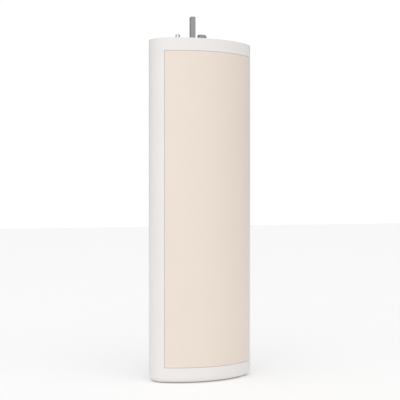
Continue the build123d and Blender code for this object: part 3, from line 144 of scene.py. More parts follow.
def moulded_plastic(name, colour, second_colour, gloss, grain_depth=0.00002, drift_size=30.0):
    """Solid coloured moulded plastic between two roughness values."""
    colours = (colour, second_colour)
    finish, shader, skin = skinned(name, moulded_skin, colours, gloss, 0.25, grain_depth)
    skin.inputs["Drift size"].default_value = drift_size
    shader.inputs["IOR"].default_value = 1.49
    return finish


def merged_copy(name):
    """A copy of a CAD node's mesh with its triangles joined and its flat faces whole."""
    shape = bmesh.new()
    shape.from_mesh(cad[name].data)
    bmesh.ops.remove_doubles(shape, verts=shape.verts, dist=0.000002)
    bmesh.ops.dissolve_limit(shape, angle_limit=radians(0.5), verts=shape.verts, edges=shape.edges)
    return shape


def round_edges(shape, edges, width, steps):
    """Gives a row of edges the small radius that a mould or a tumbler leaves."""
    bmesh.ops.bevel(
        shape,
        geom=edges,
        offset=width,
        offset_type="OFFSET",
        segments=steps,
        profile=0.5,
        affect="EDGES",
        clamp_overlap=True,
        material=-1,
    )


def edges_turning(shape, least, most=180.0, low=-1.0, high=1.0):
    """The edges whose faces turn by between two angles, between two heights."""
    return [
        edge
        for edge in shape.edges
        if len(edge.link_faces) == 2
        and radians(least) < edge.calc_face_angle(0.0) < radians(most)
        and all(low < corner.co.z < high for corner in edge.verts)
    ]


def add_piece(name, shape, finish, body, smooth_below=35.0):
    """Makes a finished shape a piece that rides on a body, smooth below an angle."""
    for face in shape.faces:
        face.smooth = True
    mesh = bpy.data.meshes.new(name)
    shape.to_mesh(mesh)
    shape.free()
    mesh.set_sharp_from_angle(angle=radians(smooth_below))
    mesh.materials.append(finish)
    piece = bpy.data.objects.new(name, mesh)
    bpy.context.scene.collection.objects.link(piece)
    if body:
        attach(piece, body)
    return piece


def finished_copy(name, shape, finish):
    """A reworked copy of a CAD node, with even shading, that stands in for the node."""
    piece = add_piece(name + "_finished", shape, finish, body_of[name])
    evening = piece.modifiers.new("even shading", "WEIGHTED_NORMAL")
    evening.keep_sharp = True
    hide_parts(name)
    return piece


def softened(name, finish, width, steps=2):
    """The node's own shape with its sharp edges rounded, standing in for the node."""
    shape = merged_copy(name)
    round_edges(shape, edges_turning(shape, 60.0), width, steps)
    return finished_copy(name, shape, finish)


black_nylon = moulded_plastic(
    "black nylon", (0.018, 0.018, 0.02), (0.035, 0.035, 0.037), (0.5, 0.68), 0.00004, 900.0
)
softened("chassis", black_nylon, 0.00025)

# Motor body: a deep drawn steel cup with two arc magnets glued inside, closed below
# by a moulded end bell that holds the carbon brushes. Two rubber rings seat it in
# the chassis and damp its hum, and bronze bushes carry the rotor.


def metal_grain_group():
    """Worked metal: streaks drawn out along one way, in colour, gloss and height."""
    group = bpy.data.node_groups.new("metal grain", "ShaderNodeTree")
    group_socket(group, "Stretch", "NodeSocketVector", value=(1.0, 1.0, 1.0))
    given, made = skin_sockets(group)
    nodes, link = group.nodes, group.links.new
    drawn = nodes.new("ShaderNodeVectorMath")
    drawn.operation = "MULTIPLY"
    link(given.outputs["Place"], drawn.inputs[0])
    link(given.outputs["Stretch"], drawn.inputs[1])
    streaks = nodes.new("ShaderNodeTexNoise")
    streaks.inputs["Scale"].default_value = 400.0
    streaks.inputs["Detail"].default_value = 4.0
    link(drawn.outputs["Vector"], streaks.inputs["Vector"])
    tint_and_gloss(group, given, made, streaks.outputs["Fac"])
    link(streaks.outputs["Fac"], made.inputs["Skin height"])
    return group


metal_grain = metal_grain_group()


def worked_metal(name, colour, streak_colour, stretch, gloss):
    """A metal with streaks drawn out along the ways where stretch is small."""
    colours = (colour, streak_colour)
    finish, shader, skin = skinned(name, metal_grain, colours, gloss, 0.2, 0.00003)
    skin.inputs["Stretch"].default_value = stretch
    shader.inputs["Metallic"].default_value = 1.0
    return finish


drawn_can = worked_metal(
    "drawn can", (0.50, 0.50, 0.49), (0.40, 0.40, 0.39), (4.0, 4.0, 0.3), (0.3, 0.42)
)
softened("motor_can", drawn_can, 0.0004, 3)
ferrite = moulded_plastic(
    "ferrite", (0.03, 0.03, 0.032), (0.05, 0.05, 0.052), (0.55, 0.7), 0.00006, 700.0
)
softened("motor_magnets", ferrite, 0.0002)
bronze = worked_metal(
    "sintered bronze", (0.45, 0.27, 0.12), (0.36, 0.21, 0.09), (3.0, 3.0, 3.0), (0.4, 0.55)
)
softened("motor_bushes", bronze, 0.0002)
softened("motor_end_bell", black_nylon, 0.00015)
carbon = moulded_plastic(
    "brush carbon", (0.022, 0.021, 0.02), (0.06, 0.055, 0.05), (0.4, 0.6), 0.00005, 1500.0
)
softened("motor_brushes", carbon, 0.0001, 1)
rubber = moulded_plastic(
    "rubber", (0.02, 0.02, 0.02), (0.03, 0.03, 0.03), (0.7, 0.85), 0.00005, 300.0
)
softened("motor_isolators", rubber, 0.0004, 3)

# Rotor: a ground steel shaft with a sintered pinion, a stack of stamped laminations
# with five enamelled copper coils, a copper commutator, and at the lower end a
# pressed ferrite magnet disc that the sensor board reads.
drawn_steel = worked_metal(
    "drawn steel", (0.40, 0.39, 0.39), (0.30, 0.295, 0.30), (5.0, 5.0, 0.3), (0.28, 0.42)
)
softened("rotor_shaft", drawn_steel, 0.0002)
sintered_steel = worked_metal(
    "sintered steel", (0.24, 0.24, 0.25), (0.16, 0.16, 0.165), (3.0, 3.0, 3.0), (0.45, 0.6)
)
softened("motor_pinion", sintered_steel, 0.00008, 1)
lamination = worked_metal(
    "lamination stack", (0.30, 0.30, 0.31), (0.12, 0.12, 0.125), (0.05, 0.05, 9.0), (0.35, 0.55)
)
softened("rotor_core", lamination, 0.0001, 1)
enamelled_copper = worked_metal(
    "enamelled copper", (0.60, 0.22, 0.08), (0.30, 0.09, 0.03), (9.0, 9.0, 0.2), (0.18, 0.32)
)
softened("rotor_windings", enamelled_copper, 0.0003)
bare_copper = worked_metal(
    "bare copper", (0.66, 0.27, 0.12), (0.48, 0.17, 0.07), (1.0, 1.0, 8.0), (0.25, 0.4)
)
softened("commutator", bare_copper, 0.0001, 1)
softened("encoder_magnet", ferrite, 0.0003)

# Gear train: a steel tube with inner teeth, closed below by a flange, and inside it
# two stages of three sintered planet gears, each stage on a carrier with three pins.
# Every tooth end has a small chamfer, and three long screws hold the train together.
softened("gearbox_ring", sintered_steel, 0.0001, 1)
rolled_steel = worked_metal(
    "rolled steel", (0.42, 0.42, 0.43), (0.34, 0.34, 0.35), (0.15, 4.0, 4.0), (0.32, 0.45)
)
softened("motor_flange", rolled_steel, 0.0002)
for stage in ("input", "output"):
    for number in (1, 2, 3):
        softened(f"{stage}_planet_{number}", sintered_steel, 0.00008, 1)
softened("first_carrier", sintered_steel, 0.00008, 1)
softened("output_carrier", sintered_steel, 0.00015)

# Gearbox cover, bearing and drive shaft: a zinc casting with the bearing collar, a
# shielded ball bearing pressed into it, and the turned shaft that a spring ring keeps
# in place. The shaft is milled to a square where the track's drive wheel goes.
zinc_casting = worked_metal(
    "zinc casting", (0.42, 0.42, 0.43), (0.35, 0.35, 0.36), (1.5, 1.5, 1.5), (0.36, 0.5)
)
softened("gearbox_cover", zinc_casting, 0.0003)
bearing_steel = worked_metal(
    "ground bearing steel", (0.58, 0.58, 0.58), (0.50, 0.50, 0.50), (0.5, 0.5, 6.0), (0.18, 0.28)
)
softened("shaft_bearing", bearing_steel, 0.0003, 3)
softened("bearing_inner_ring", bearing_steel, 0.0002)
milled_steel = worked_metal(
    "milled steel", (0.36, 0.35, 0.345), (0.27, 0.265, 0.265), (6.0, 6.0, 0.25), (0.30, 0.42)
)
softened("drive_shaft", milled_steel, 0.00025, 3)
spring_steel = worked_metal(
    "spring steel", (0.34, 0.34, 0.36), (0.26, 0.26, 0.28), (0.3, 0.3, 5.0), (0.22, 0.34)
)
softened("retaining_ring", spring_steel, 0.00012)

# Circuit boards: glass epoxy under a green solder mask, with copper tracks showing
# through it and small tinned pads. All sit on moulded posts, and all but the round
# sensor board are held by screws at two opposite corners.


def board_skin_group():
    """Solder mask: tracks in patches under the mask, and a scatter of tinned pads."""
    group = bpy.data.node_groups.new("board skin", "ShaderNodeTree")
    group_socket(group, "Pad colour", "NodeSocketColor", value=(0.55, 0.53, 0.48, 1.0))
    given, made = skin_sockets(group)
    nodes, link = group.nodes, group.links.new
    parted = nodes.new("ShaderNodeSeparateXYZ")
    link(given.outputs["Place"], parted.inputs["Vector"])
    along = nodes.new("ShaderNodeMath")
    link(parted.outputs["Y"], along.inputs[0])
    link(parted.outputs["Z"], along.inputs[1])
    flat = nodes.new("ShaderNodeCombineXYZ")
    link(parted.outputs["X"], flat.inputs["X"])
    link(along.outputs["Value"], flat.inputs["Y"])
    tracks = nodes.new("ShaderNodeTexBrick")
    tracks.inputs["Scale"].default_value = 100.0
    tracks.inputs["Mortar Size"].default_value = 0.018
    tracks.inputs["Mortar Smooth"].default_value = 0.2
    tracks.inputs["Brick Width"].default_value = 0.65
    tracks.inputs["Row Height"].default_value = 0.11
    link(flat.outputs["Vector"], tracks.inputs["Vector"])
    patches = nodes.new("ShaderNodeTexNoise")
    patches.inputs["Scale"].default_value = 110.0
    link(flat.outputs["Vector"], patches.inputs["Vector"])
    patched = nodes.new("ShaderNodeMath")
    patched.operation = "GREATER_THAN"
    patched.inputs[1].default_value = 0.47
    link(patches.outputs["Fac"], patched.inputs[0])
    routed = nodes.new("ShaderNodeMath")
    routed.operation = "MULTIPLY"
    link(tracks.outputs["Fac"], routed.inputs[0])
    link(patched.outputs["Value"], routed.inputs[1])
    masked = nodes.new("ShaderNodeMix")
    masked.data_type = "RGBA"
    link(routed.outputs["Value"], masked.inputs["Factor"])
    link(given.outputs["Colour"], masked.inputs[6])
    link(given.outputs["Second colour"], masked.inputs[7])
    pads = nodes.new("ShaderNodeTexVoronoi")
    pads.inputs["Scale"].default_value = 240.0
    link(flat.outputs["Vector"], pads.inputs["Vector"])
    bare = nodes.new("ShaderNodeMath")
    bare.operation = "LESS_THAN"
    bare.inputs[1].default_value = 0.13
    link(pads.outputs["Distance"], bare.inputs[0])
    tinned = nodes.new("ShaderNodeMix")
    tinned.data_type = "RGBA"
    link(bare.outputs["Value"], tinned.inputs["Factor"])
    link(masked.outputs[2], tinned.inputs[6])
    link(given.outputs["Pad colour"], tinned.inputs[7])
    link(tinned.outputs[2], made.inputs["Skin colour"])
    gloss = nodes.new("ShaderNodeMapRange")
    link(routed.outputs["Value"], gloss.inputs["Value"])
    link(given.outputs["Least roughness"], gloss.inputs["To Min"])
    link(given.outputs["Most roughness"], gloss.inputs["To Max"])
    link(gloss.outputs["Result"], made.inputs["Skin roughness"])
    raised = nodes.new("ShaderNodeMath")
    raised.operation = "MAXIMUM"
    link(routed.outputs["Value"], raised.inputs[0])
    link(bare.outputs["Value"], raised.inputs[1])
    link(raised.outputs["Value"], made.inputs["Skin height"])
    return group


board_colours = ((0.012, 0.085, 0.035), (0.03, 0.17, 0.07))
green_mask, board_shader = skinned(
    "solder mask", board_skin_group(), board_colours, (0.22, 0.34), 0.3, 0.00004
)[:2]
board_shader.inputs["Coat Weight"].default_value = 0.3
for name in ("encoder_board", "main_board", "power_board", "socket_board"):
    softened(name, green_mask, 0.0001, 1)

# Chips and radio module on the main board: epoxy packages, each with rows of bent and
# tinned legs soldered down beside it, and a radio board under a tinned steel shield.
chip_resin = moulded_plastic(
    "chip resin", (0.012, 0.012, 0.013), (0.024, 0.024, 0.025), (0.5, 0.6), 0.00003, 1200.0
)
softened("board_chips", chip_resin, 0.0002)
main_board_face = -0.01301
# Each package: its middle in X and Z, width, height, legs above and below, and beside.
chip_packages = (
    (-0.009, 0.112, 0.012, 0.012, 10, 10),
    (0.009, 0.112, 0.008, 0.006, 6, 0),
    (0.010, 0.146, 0.009, 0.009, 7, 7),
    (-0.011, 0.146, 0.005, 0.004, 3, 0),
    (0.0, 0.090, 0.0065, 0.005, 4, 0),
)
leg_width = 0.0004
leg_reach = 0.0009
leg_thick = 0.0003


def add_leg(shape, middle_x, middle_z, wide, tall):
    """One flat tinned leg that lies on the board."""
    place = Matrix.Translation((middle_x, main_board_face - leg_thick / 2, middle_z))
    size = Matrix.Diagonal((wide, leg_thick, tall, 1.0))
    bmesh.ops.create_cube(shape, size=1.0, matrix=place @ size)


shape = bmesh.new()
for chip_x, chip_z, chip_wide, chip_tall, across_count, down_count in chip_packages:
    for side in (-1, 1):
        for leg in range(across_count):
            leg_x = chip_x + chip_wide * ((leg + 0.5) / across_count - 0.5)
            leg_z = chip_z + side * (chip_tall + leg_reach) / 2
            add_leg(shape, leg_x, leg_z, leg_width, leg_reach)
        for leg in range(down_count):
            leg_z = chip_z + chip_tall * ((leg + 0.5) / down_count - 0.5)
            leg_x = chip_x + side * (chip_wide + leg_reach) / 2
            add_leg(shape, leg_x, leg_z, leg_reach, leg_width)
tinned_metal = worked_metal(
    "tinned metal", (0.62, 0.62, 0.60), (0.50, 0.50, 0.49), (2.0, 2.0, 2.0), (0.2, 0.35)
)
add_piece("chip_legs", shape, tinned_metal, "housing")
softened("radio_module", tinned_metal, 0.0002)

# Transformer: copper under yellow tape on a nylon bobbin, with a ferrite core pushed
# through it. The bobbin's flange stands on the power board and its pins are soldered.


def rounded_block(shape, low, high, radius, steps=3):
    """A block between two corners with every edge rounded."""
    middle = (Vector(low) + Vector(high)) / 2
    size = Vector(high) - Vector(low)
    place = Matrix.Translation(middle) @ Matrix.Diagonal((*size, 1.0))
    made = bmesh.ops.create_cube(shape, size=1.0, matrix=place)
    corners = set(made["verts"])
    edges = [edge for edge in shape.edges if corners.issuperset(edge.verts)]
    round_edges(shape, edges, radius, steps)


natural_nylon = moulded_plastic(
    "natural nylon", (0.68, 0.64, 0.54), (0.62, 0.58, 0.48), (0.45, 0.55)
)
winding_tape = moulded_plastic(
    "winding tape", (0.60, 0.42, 0.03), (0.5, 0.34, 0.02), (0.25, 0.4), 0.00006, 250.0
)
board_back = -0.00201
bobbin_low, bobbin_high = (-0.021, board_back, 0.068), (0.003, 0.00099, 0.090)
winding_low, winding_high = (-0.0165, 0.00095, 0.069), (-0.0015, 0.01299, 0.089)
core_low, core_high = (-0.0205, 0.00098, 0.0735), (0.0025, 0.01599, 0.0845)
for name, low, high, radius, steps, finish in (
    ("transformer_bobbin", bobbin_low, bobbin_high, 0.0004, 3, natural_nylon),
    ("transformer_winding", winding_low, winding_high, 0.0022, 5, winding_tape),
    ("transformer_core", core_low, core_high, 0.0003, 3, ferrite),
):
    shape = bmesh.new()
    rounded_block(shape, low, high, radius, steps)
    piece = add_piece(name, shape, finish, "housing")
    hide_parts("transformer")

# Capacitors on the power board: two round aluminium cans in plain blue shrink
# sleeves, with a groove rolled in above the rubber and the bare top showing, and one
# film capacitor in a box of yellow resin.


def turned(shape, profile, place, steps=32):
    """Turns a row of (radius, height) points once round the place's Z axis."""
    before = set(shape.verts)
    points = [shape.verts.new((radius, 0.0, height)) for radius, height in profile]
    edges = [shape.edges.new(pair) for pair in zip(points, points[1:])]
    bmesh.ops.spin(
        shape,
        geom=points + edges,
        cent=(0.0, 0.0, 0.0),
        axis=(0.0, 0.0, 1.0),
        dvec=(0.0, 0.0, 0.0),
        angle=2 * pi,
        steps=steps,
        use_merge=True,
    )
    fresh = [corner for corner in shape.verts if corner not in before]
    bmesh.ops.remove_doubles(shape, verts=fresh, dist=0.000001)
    fresh = [corner for corner in shape.verts if corner not in before]
    faces = {face for corner in fresh for face in corner.link_faces}
    bmesh.ops.recalc_face_normals(shape, faces=list(faces))
    bmesh.ops.transform(shape, matrix=place, verts=fresh)


shrink_sleeve = moulded_plastic(
    "shrink sleeve", (0.02, 0.03, 0.10), (0.015, 0.025, 0.08), (0.2, 0.3)
)
spun_aluminium = worked_metal(
    "spun aluminium", (0.72, 0.72, 0.73), (0.62, 0.62, 0.63), (4.0, 0.5, 4.0), (0.2, 0.3)
)
film_resin = moulded_plastic(
    "film box resin", (0.62, 0.40, 0.05), (0.56, 0.36, 0.04), (0.3, 0.4)
)
can_x, can_heights = 0.012, (0.062, 0.074)
film_low, film_high = (-0.0155, board_back, 0.058), (-0.0025, 0.00999, 0.064)
sleeve_profile = (
    (0.0, 0.0), (0.0046, 0.0), (0.005, 0.0004), (0.005, 0.0016),
    (0.0047, 0.0021), (0.0047, 0.0024), (0.005, 0.0029), (0.005, 0.0153),
    (0.0048, 0.0158), (0.0043, 0.016), (0.0041, 0.0158), (0.0041, 0.0156),
)
vent_profile = ((0.0042, 0.0155), (0.0041, 0.01575), (0.0022, 0.0158), (0.0, 0.0158))
sleeves, vents = bmesh.new(), bmesh.new()
for can_z in can_heights:
    stand = Matrix.Translation((can_x, board_back, can_z)) @ Matrix.Rotation(-pi / 2, 4, "X")
    turned(sleeves, sleeve_profile, stand)
    turned(vents, vent_profile, stand)
can_sleeves = add_piece("capacitor_sleeves", sleeves, shrink_sleeve, "housing")
can_vents = add_piece("capacitor_vents", vents, spun_aluminium, "housing")
shape = bmesh.new()
rounded_block(shape, film_low, film_high, 0.0006)
film_box = add_piece("film_capacitor", shape, film_resin, "housing")
for piece in (can_sleeves, can_vents, film_box):
    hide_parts("capacitors")

# Plug housings and leads: natural nylon plugs on both boards, and stranded copper in
# soft vinyl from them to the inlet, the motor and the socket. Power runs in pairs,
# and the sensor and control leads are flat grey ribbons, one core for each contact.
softened("board_connectors", natural_nylon, 0.0003)


def add_leads(name, routes, radius, finish):
    """Round cores, each a smooth line along its own row of route points."""
    lines = bpy.data.curves.new(name, "CURVE")
    lines.dimensions = "3D"
    lines.bevel_depth = radius
    lines.bevel_resolution = 3
    lines.use_fill_caps = True
    for route in routes:
        line = lines.splines.new("NURBS")
        line.points.add(len(route) - 1)
        for point, place in zip(line.points, route):
            point.co = (*place, 1.0)
        line.order_u = 3
        line.use_endpoint_u = True
    lines.materials.append(finish)
    piece = bpy.data.objects.new(name, lines)
    bpy.context.scene.collection.objects.link(piece)
    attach(piece, "housing")
    return piece


def side_by_side(route, count, pitch):
    """Copies of one route, a pitch apart along X."""
    spread = [pitch * (core - (count - 1) / 2) for core in range(count)]
    return [[(x + step, y, z) for x, y, z in route] for step in spread]


plug_y = 0.00149
mains_route = ((-0.015, 0.003, 0.0228), (-0.015, 0.003, 0.052), (-0.015, board_back, 0.052))
motor_route = (
    (-0.004, 0.02054, 0.16115),
    (-0.004, 0.02054, 0.15215),
    (-0.004, plug_y, 0.13445),
    (-0.004, plug_y, 0.12545),
)
supply_route = ((0.004, plug_y, 0.12545), (0.004, plug_y, 0.14595), (0.004, -0.01141, 0.14595))
sensor_route = ((0.0, 0.00334, 0.15545), (0.0, 0.00334, 0.15045), (0.0, -0.01141, 0.15045))
control_route = (
    (0.014, -0.0125, 0.0186),
    (0.014, -0.0125, 0.0486),
    (0.014, -0.01601, 0.063),
    (0.014, -0.01601, 0.072),
)
black_vinyl = moulded_plastic("black vinyl", (0.02, 0.02, 0.02), (0.03, 0.03, 0.03), (0.35, 0.5))
red_vinyl = moulded_plastic("red vinyl", (0.35, 0.02, 0.015), (0.28, 0.015, 0.012), (0.35, 0.5))
grey_vinyl = moulded_plastic("grey vinyl", (0.30, 0.30, 0.31), (0.25, 0.25, 0.26), (0.4, 0.5))
lead_radius, pair_pitch, inlet_pin_pitch = 0.0008, 0.0016, 0.0066
core_radius, core_pitch = 0.0005, 0.001
mains = side_by_side(mains_route, 2, inlet_pin_pitch)
mains_leads = add_leads("mains_leads", mains, lead_radius, black_vinyl)
pairs = [
    *side_by_side(motor_route, 2, pair_pitch),
    *side_by_side(supply_route, 2, pair_pitch),
]
motor_leads = add_leads("motor_and_supply_leads", pairs, lead_radius, red_vinyl)
for piece in (mains_leads, motor_leads):
    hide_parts("power_leads")
ribbons = [
    *side_by_side(sensor_route, 4, core_pitch),
    *side_by_side(control_route, 6, core_pitch),
]
ribbon_leads = add_leads("ribbon_leads", ribbons, core_radius, grey_vinyl)
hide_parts("signal_leads")

# Rear housing: one injection moulded shell in white ABS with a fine satin skin. It
# wraps the back and both sides, and the chassis is screwed into it from the front
# before the panel goes on. The skin drifts very slightly in tint and gloss.
white_abs = moulded_plastic(
    "white ABS", (0.815, 0.792, 0.776), (0.778, 0.758, 0.742), (0.34, 0.42)
)
softened("rear_housing", white_abs, 0.0002)

# Front cover: the curved beige panel, an injection moulded satin skin that snaps on
# behind the housing's ledges once everything inside is wired. Its edge has a small
# radius and seats closer than the solid's moulding gap: the seam is a bare line.
beige_abs = moulded_plastic(
    "beige ABS", (0.80, 0.70, 0.62), (0.775, 0.675, 0.595), (0.33, 0.40)
)
chamfer_turns = (40.0, 50.0)
shape = merged_copy("front_cover")
panel_low, panel_high, panel_turn, panel_radius = 0.01175, 0.24995, 0.62446, 0.06252
panel_centre = Vector((0.0, 0.03498, 0.0))
edge_row, fit = 0.0004, 0.00028
for corner in shape.verts:
    if corner.co.z > panel_high - edge_row:
        corner.co.z += fit
    elif corner.co.z < panel_low + edge_row:
        corner.co.z -= fit
    spoke = corner.co - panel_centre
    turn = atan2(abs(spoke.x), -spoke.y)
    if turn > panel_turn - edge_row / panel_radius:
        side_fit = Matrix.Rotation(copysign(fit / panel_radius, spoke.x), 3, "Z")
        corner.co = panel_centre + side_fit @ spoke
round_edges(shape, edges_turning(shape, *chamfer_turns), 0.00012, 2)
round_edges(shape, edges_turning(shape, 60.0), 0.0001, 1)
finished_copy("front_cover", shape, beige_abs)

# Top cap: a shallow white moulding whose skirt fits inside the shell. It is clamped
# under the mounting plate, and its upper rim has a small radius. The pocket's corners
# follow the plate's round ones, all but the one that the lever's notch cuts open.
pocket_radius, pocket_floor, cap_top, notch_x = 0.0042, 0.2584, 0.26, 0.020
rim_start, close_by = 0.2592, 0.0001


def pocket_corner(edge):
    """True for an upright inward corner as deep as the pocket, away from the notch."""
    low, high = sorted(corner.co.z for corner in edge.verts)
    upright = abs(low - pocket_floor) < close_by and abs(high - cap_top) < close_by
    inward = edge.calc_face_angle_signed(0.0) < radians(-60.0)
    return upright and inward and abs(edge.verts[0].co.x - notch_x) > close_by


shape = merged_copy("top_cap")
pocket_corners = [edge for edge in shape.edges if pocket_corner(edge)]
for edge in pocket_corners:
    reach = pocket_radius * tan(-edge.calc_face_angle_signed(0.0) / 2)
    round_edges(shape, [edge], reach, 6)
round_edges(shape, edges_turning(shape, *chamfer_turns, rim_start), 0.00042, 3)
round_edges(shape, edges_turning(shape, 60.0), 0.00015, 2)
finished_copy("top_cap", shape, white_abs)

# Mounting plate and locating peg: stamped steel let into the top cap, with a turned
# and polished pin riveted into it beside the drive shaft. The pin's end is domed.
softened("mounting_plate", rolled_steel, 0.00025, 3)
polished_steel = worked_metal(
    "polished steel", (0.70, 0.70, 0.71), (0.62, 0.62, 0.63), (3.0, 3.0, 0.6), (0.22, 0.34)
)
peg_profile = (
    (0.0, 0.2584), (0.00175, 0.2584), (0.00175, 0.26), (0.00275, 0.26), (0.0029, 0.26015),
    (0.0029, 0.26065), (0.00275, 0.2608), (0.00185, 0.2608), (0.00175, 0.2609), (0.00175, 0.2665),
    (0.00167, 0.26705), (0.00145, 0.26748), (0.0011, 0.26775), (0.0006, 0.26788), (0.0, 0.2679),
)
peg_place = Matrix.Translation((-0.0131, 0.00934, 0.0))
shape = bmesh.new()
turned(shape, peg_profile, peg_place, 40)
peg = add_piece("locating_peg_finished", shape, polished_steel, "housing")
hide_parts("locating_peg")

# Screws: zinc plated pan heads with a cross recess, rolled thread below. They clamp
# the plate, the gearbox and its cover, the chassis, the lower cap and the boards.
zinc_plating = worked_metal(
    "zinc plating", (0.62, 0.62, 0.60), (0.52, 0.52, 0.51), (2.0, 2.0, 2.0), (0.24, 0.38)
)


def pan_screw(shape, place, shank, head):
    """A threaded shank below the place's plane, and a domed head with a cross above."""
    radius, length = shank
    head_radius, head_height = head
    pitch = 0.4 * radius
    core_radius = 0.8 * radius
    profile = [(0.0, -length), (0.3 * radius, -length), (core_radius, radius - length)]
    rung = radius - length
    while rung < -2 * pitch:
        profile += [(radius, rung + 0.4 * pitch), (core_radius, rung + pitch)]
        rung += pitch
    profile += [
        (core_radius, 0.0),
        (0.97 * head_radius, 0.0),
        (head_radius, 0.08 * head_height),
        (head_radius, 0.4 * head_height),
        (0.94 * head_radius, 0.7 * head_height),
        (0.80 * head_radius, 0.91 * head_height),
        (0.62 * head_radius, head_height),
    ]
    before = set(shape.verts)
    turned(shape, profile, Matrix.Identity(4), 24)
    fresh = [corner for corner in shape.verts if corner not in before]
    rim_height = 0.9 * head_height
    rim = [
        edge
        for edge in shape.edges
        if edge.is_boundary and edge.verts[0] not in before and edge.verts[0].co.z > rim_height
    ]
    narrow, reach = 0.11 * head_radius, 0.50 * head_radius
    arm = ((reach, -narrow), (reach, narrow), (narrow, narrow))
    spots = [
        Matrix.Rotation(quarter * pi / 2, 4, "Z") @ Vector((x, y, head_height))
        for quarter in range(4)
        for x, y in arm
    ]
    cross = [shape.verts.new(spot) for spot in spots]
    cross_edges = [shape.edges.new(pair) for pair in zip(cross, cross[1:] + cross[:1])]
    bmesh.ops.bridge_loops(shape, edges=rim + cross_edges)
    recess = shape.faces.new(cross)
    fresh += cross
    faces = list({face for corner in fresh for face in corner.link_faces})
    bmesh.ops.recalc_face_normals(shape, faces=faces)
    bmesh.ops.inset_individual(
        shape, faces=[recess], thickness=0.04 * head_radius, depth=-0.55 * head_height
    )
    fresh += list(recess.verts)
    bmesh.ops.transform(shape, matrix=place, verts=list(set(fresh)))


def add_screws(name, seats, shank, head):
    """One group of like screws; each seat is a place, the way the screw points, a turn."""
    shape = bmesh.new()
    for spot, way, turn in seats:
        facing = (-Vector(way)).to_track_quat("Z", "Y").to_matrix().to_4x4()
        twist = Matrix.Rotation(radians(turn), 4, "Z")
        pan_screw(shape, Matrix.Translation(spot) @ facing @ twist, shank, head)
    piece = add_piece(name + "_finished", shape, zinc_plating, "housing")
    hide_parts(name)


down, up, back, front = (0, 0, -1), (0, 0, 1), (0, 1, 0), (0, -1, 0)
large_head, small_head = (0.0028, 0.002), (0.0019, 0.0013)
plate_seats = (
    ((-0.00688, 0.01917, 0.26), down, 15),
    ((-0.00688, -0.00049, 0.26), down, 62),
    ((0.01039, 0.00334, 0.26), down, 38),
)
add_screws("plate_screws", plate_seats, (0.0015, 0.0085), large_head)
gearbox_seats = (
    ((0.01359, 0.01173, 0.2515), down, 10),
    ((-0.01359, 0.01173, 0.2515), down, 70),
    ((0.00357, -0.00399, 0.2515), down, 30),
)
add_screws("gearbox_screws", gearbox_seats, (0.001, 0.03045), small_head)
housing_seats = (
    ((-0.03, -0.00841, 0.044), back, 20),
    ((0.03, -0.00841, 0.044), back, 5),
    ((-0.03, -0.00841, 0.22105), back, 48),
    ((0.03, -0.00841, 0.22105), back, 80),
    ((-0.032, -0.00101, 0.01), up, 33),
    ((0.032, -0.00101, 0.01), up, 12),
    ((-0.024, 0.00099, 0.2515), down, 55),
    ((0.024, 0.00099, 0.2515), down, 25),
)
add_screws("housing_screws", housing_seats, (0.0015, 0.016), large_head)
board_seats = (
    ((-0.019, -0.01301, 0.066), back, 10),
    ((0.019, -0.01301, 0.206), back, 40),
    ((-0.021, board_back, 0.048), front, 65),
    ((0.021, board_back, 0.12645), front, 15),
    ((0.0239, 0.006, 0.0186), down, 35),
    ((0.0043, -0.0069, 0.0186), down, 75),
)
add_screws("board_screws", board_seats, (0.001, 0.006), small_head)

# Locking lever: a die cast zinc arm with an upstanding hook for the track and a thumb
# tab. It turns on a slotted shoulder screw, and the gate marks are tumbled off.
softened("locking_lever", zinc_casting, 0.0003, 3)
softened("lever_pivot_screw", zinc_plating, 0.0003, 3)

# Lever spring: one strip of spring steel, bent to bear on the plate's post, behind the
# pivot's head and on the tab. Rows of edges are cut across it, and the whole strip stays put.
first_cut, cut_pitch, cut_count = 0.001, 0.0015, 16


def cut_through(shape, place, way):
    """Adds a row of edges where a plane passes through the whole shape."""
    whole = shape.verts[:] + shape.edges[:] + shape.faces[:]
    bmesh.ops.bisect_plane(shape, geom=whole, dist=0.000001, plane_co=place, plane_no=way)


shape = merged_copy("lever_spring")
for step in range(cut_count):
    cut_through(shape, (first_cut + cut_pitch * step, 0.0, 0.0), (1.0, 0.0, 0.0))
round_edges(shape, edges_turning(shape, 75.0), 0.00008, 1)
spring = add_piece("lever_spring_finished", shape, spring_steel, "")
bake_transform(spring)
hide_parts("lever_spring")

# Bottom cap: a shallow white tray with the sockets' mouths, screwed to the chassis
# feet. Its outer edge carries the large radius that the unit is handled by, round an
# outline of four arcs: the panel's, two tight corners and the back's.
lower_radius, lower_steps, rim_depth = 0.005, 6, 0.00176
corner_centre, corner_radius = Vector((0.02835, -0.0039, 0.0)), 0.0144
back_centre, back_radius = Vector((0.0, -0.018972, 0.0)), 0.046508
front_spread, back_spread = radians(36.1), radians(62.0)


def arc_over(spot):
    """The centre and radius of the arc of the outline that a spot lies under."""
    in_front = spot.y < corner_centre.y
    if in_front and atan2(abs(spot.x), panel_centre.y - spot.y) < front_spread:
        return panel_centre, panel_radius
    if not in_front and atan2(abs(spot.x), spot.y - back_centre.y) < back_spread:
        return back_centre, back_radius
    return Vector((copysign(corner_centre.x, spot.x), corner_centre.y, 0.0)), corner_radius


shape = merged_copy("bottom_cap")
for step in range(1, lower_steps + 1):
    height = lower_radius * (1 - cos(step / lower_steps * pi / 2))
    cut_through(shape, (0.0, 0.0, height), (0.0, 0.0, 1.0))
for corner in shape.verts:
    centre, radius = arc_over(corner.co)
    spoke = (corner.co - centre) * Vector((1.0, 1.0, 0.0))
    if corner.co.z < lower_radius and spoke.length > radius - rim_depth:
        drawn_in = lower_radius - sqrt(lower_radius**2 - (lower_radius - corner.co.z) ** 2)
        corner.co += spoke.normalized() * (radius - drawn_in - spoke.length)
round_edges(shape, edges_turning(shape, 60.0), 0.00015, 2)
finished_copy("bottom_cap", shape, white_abs)

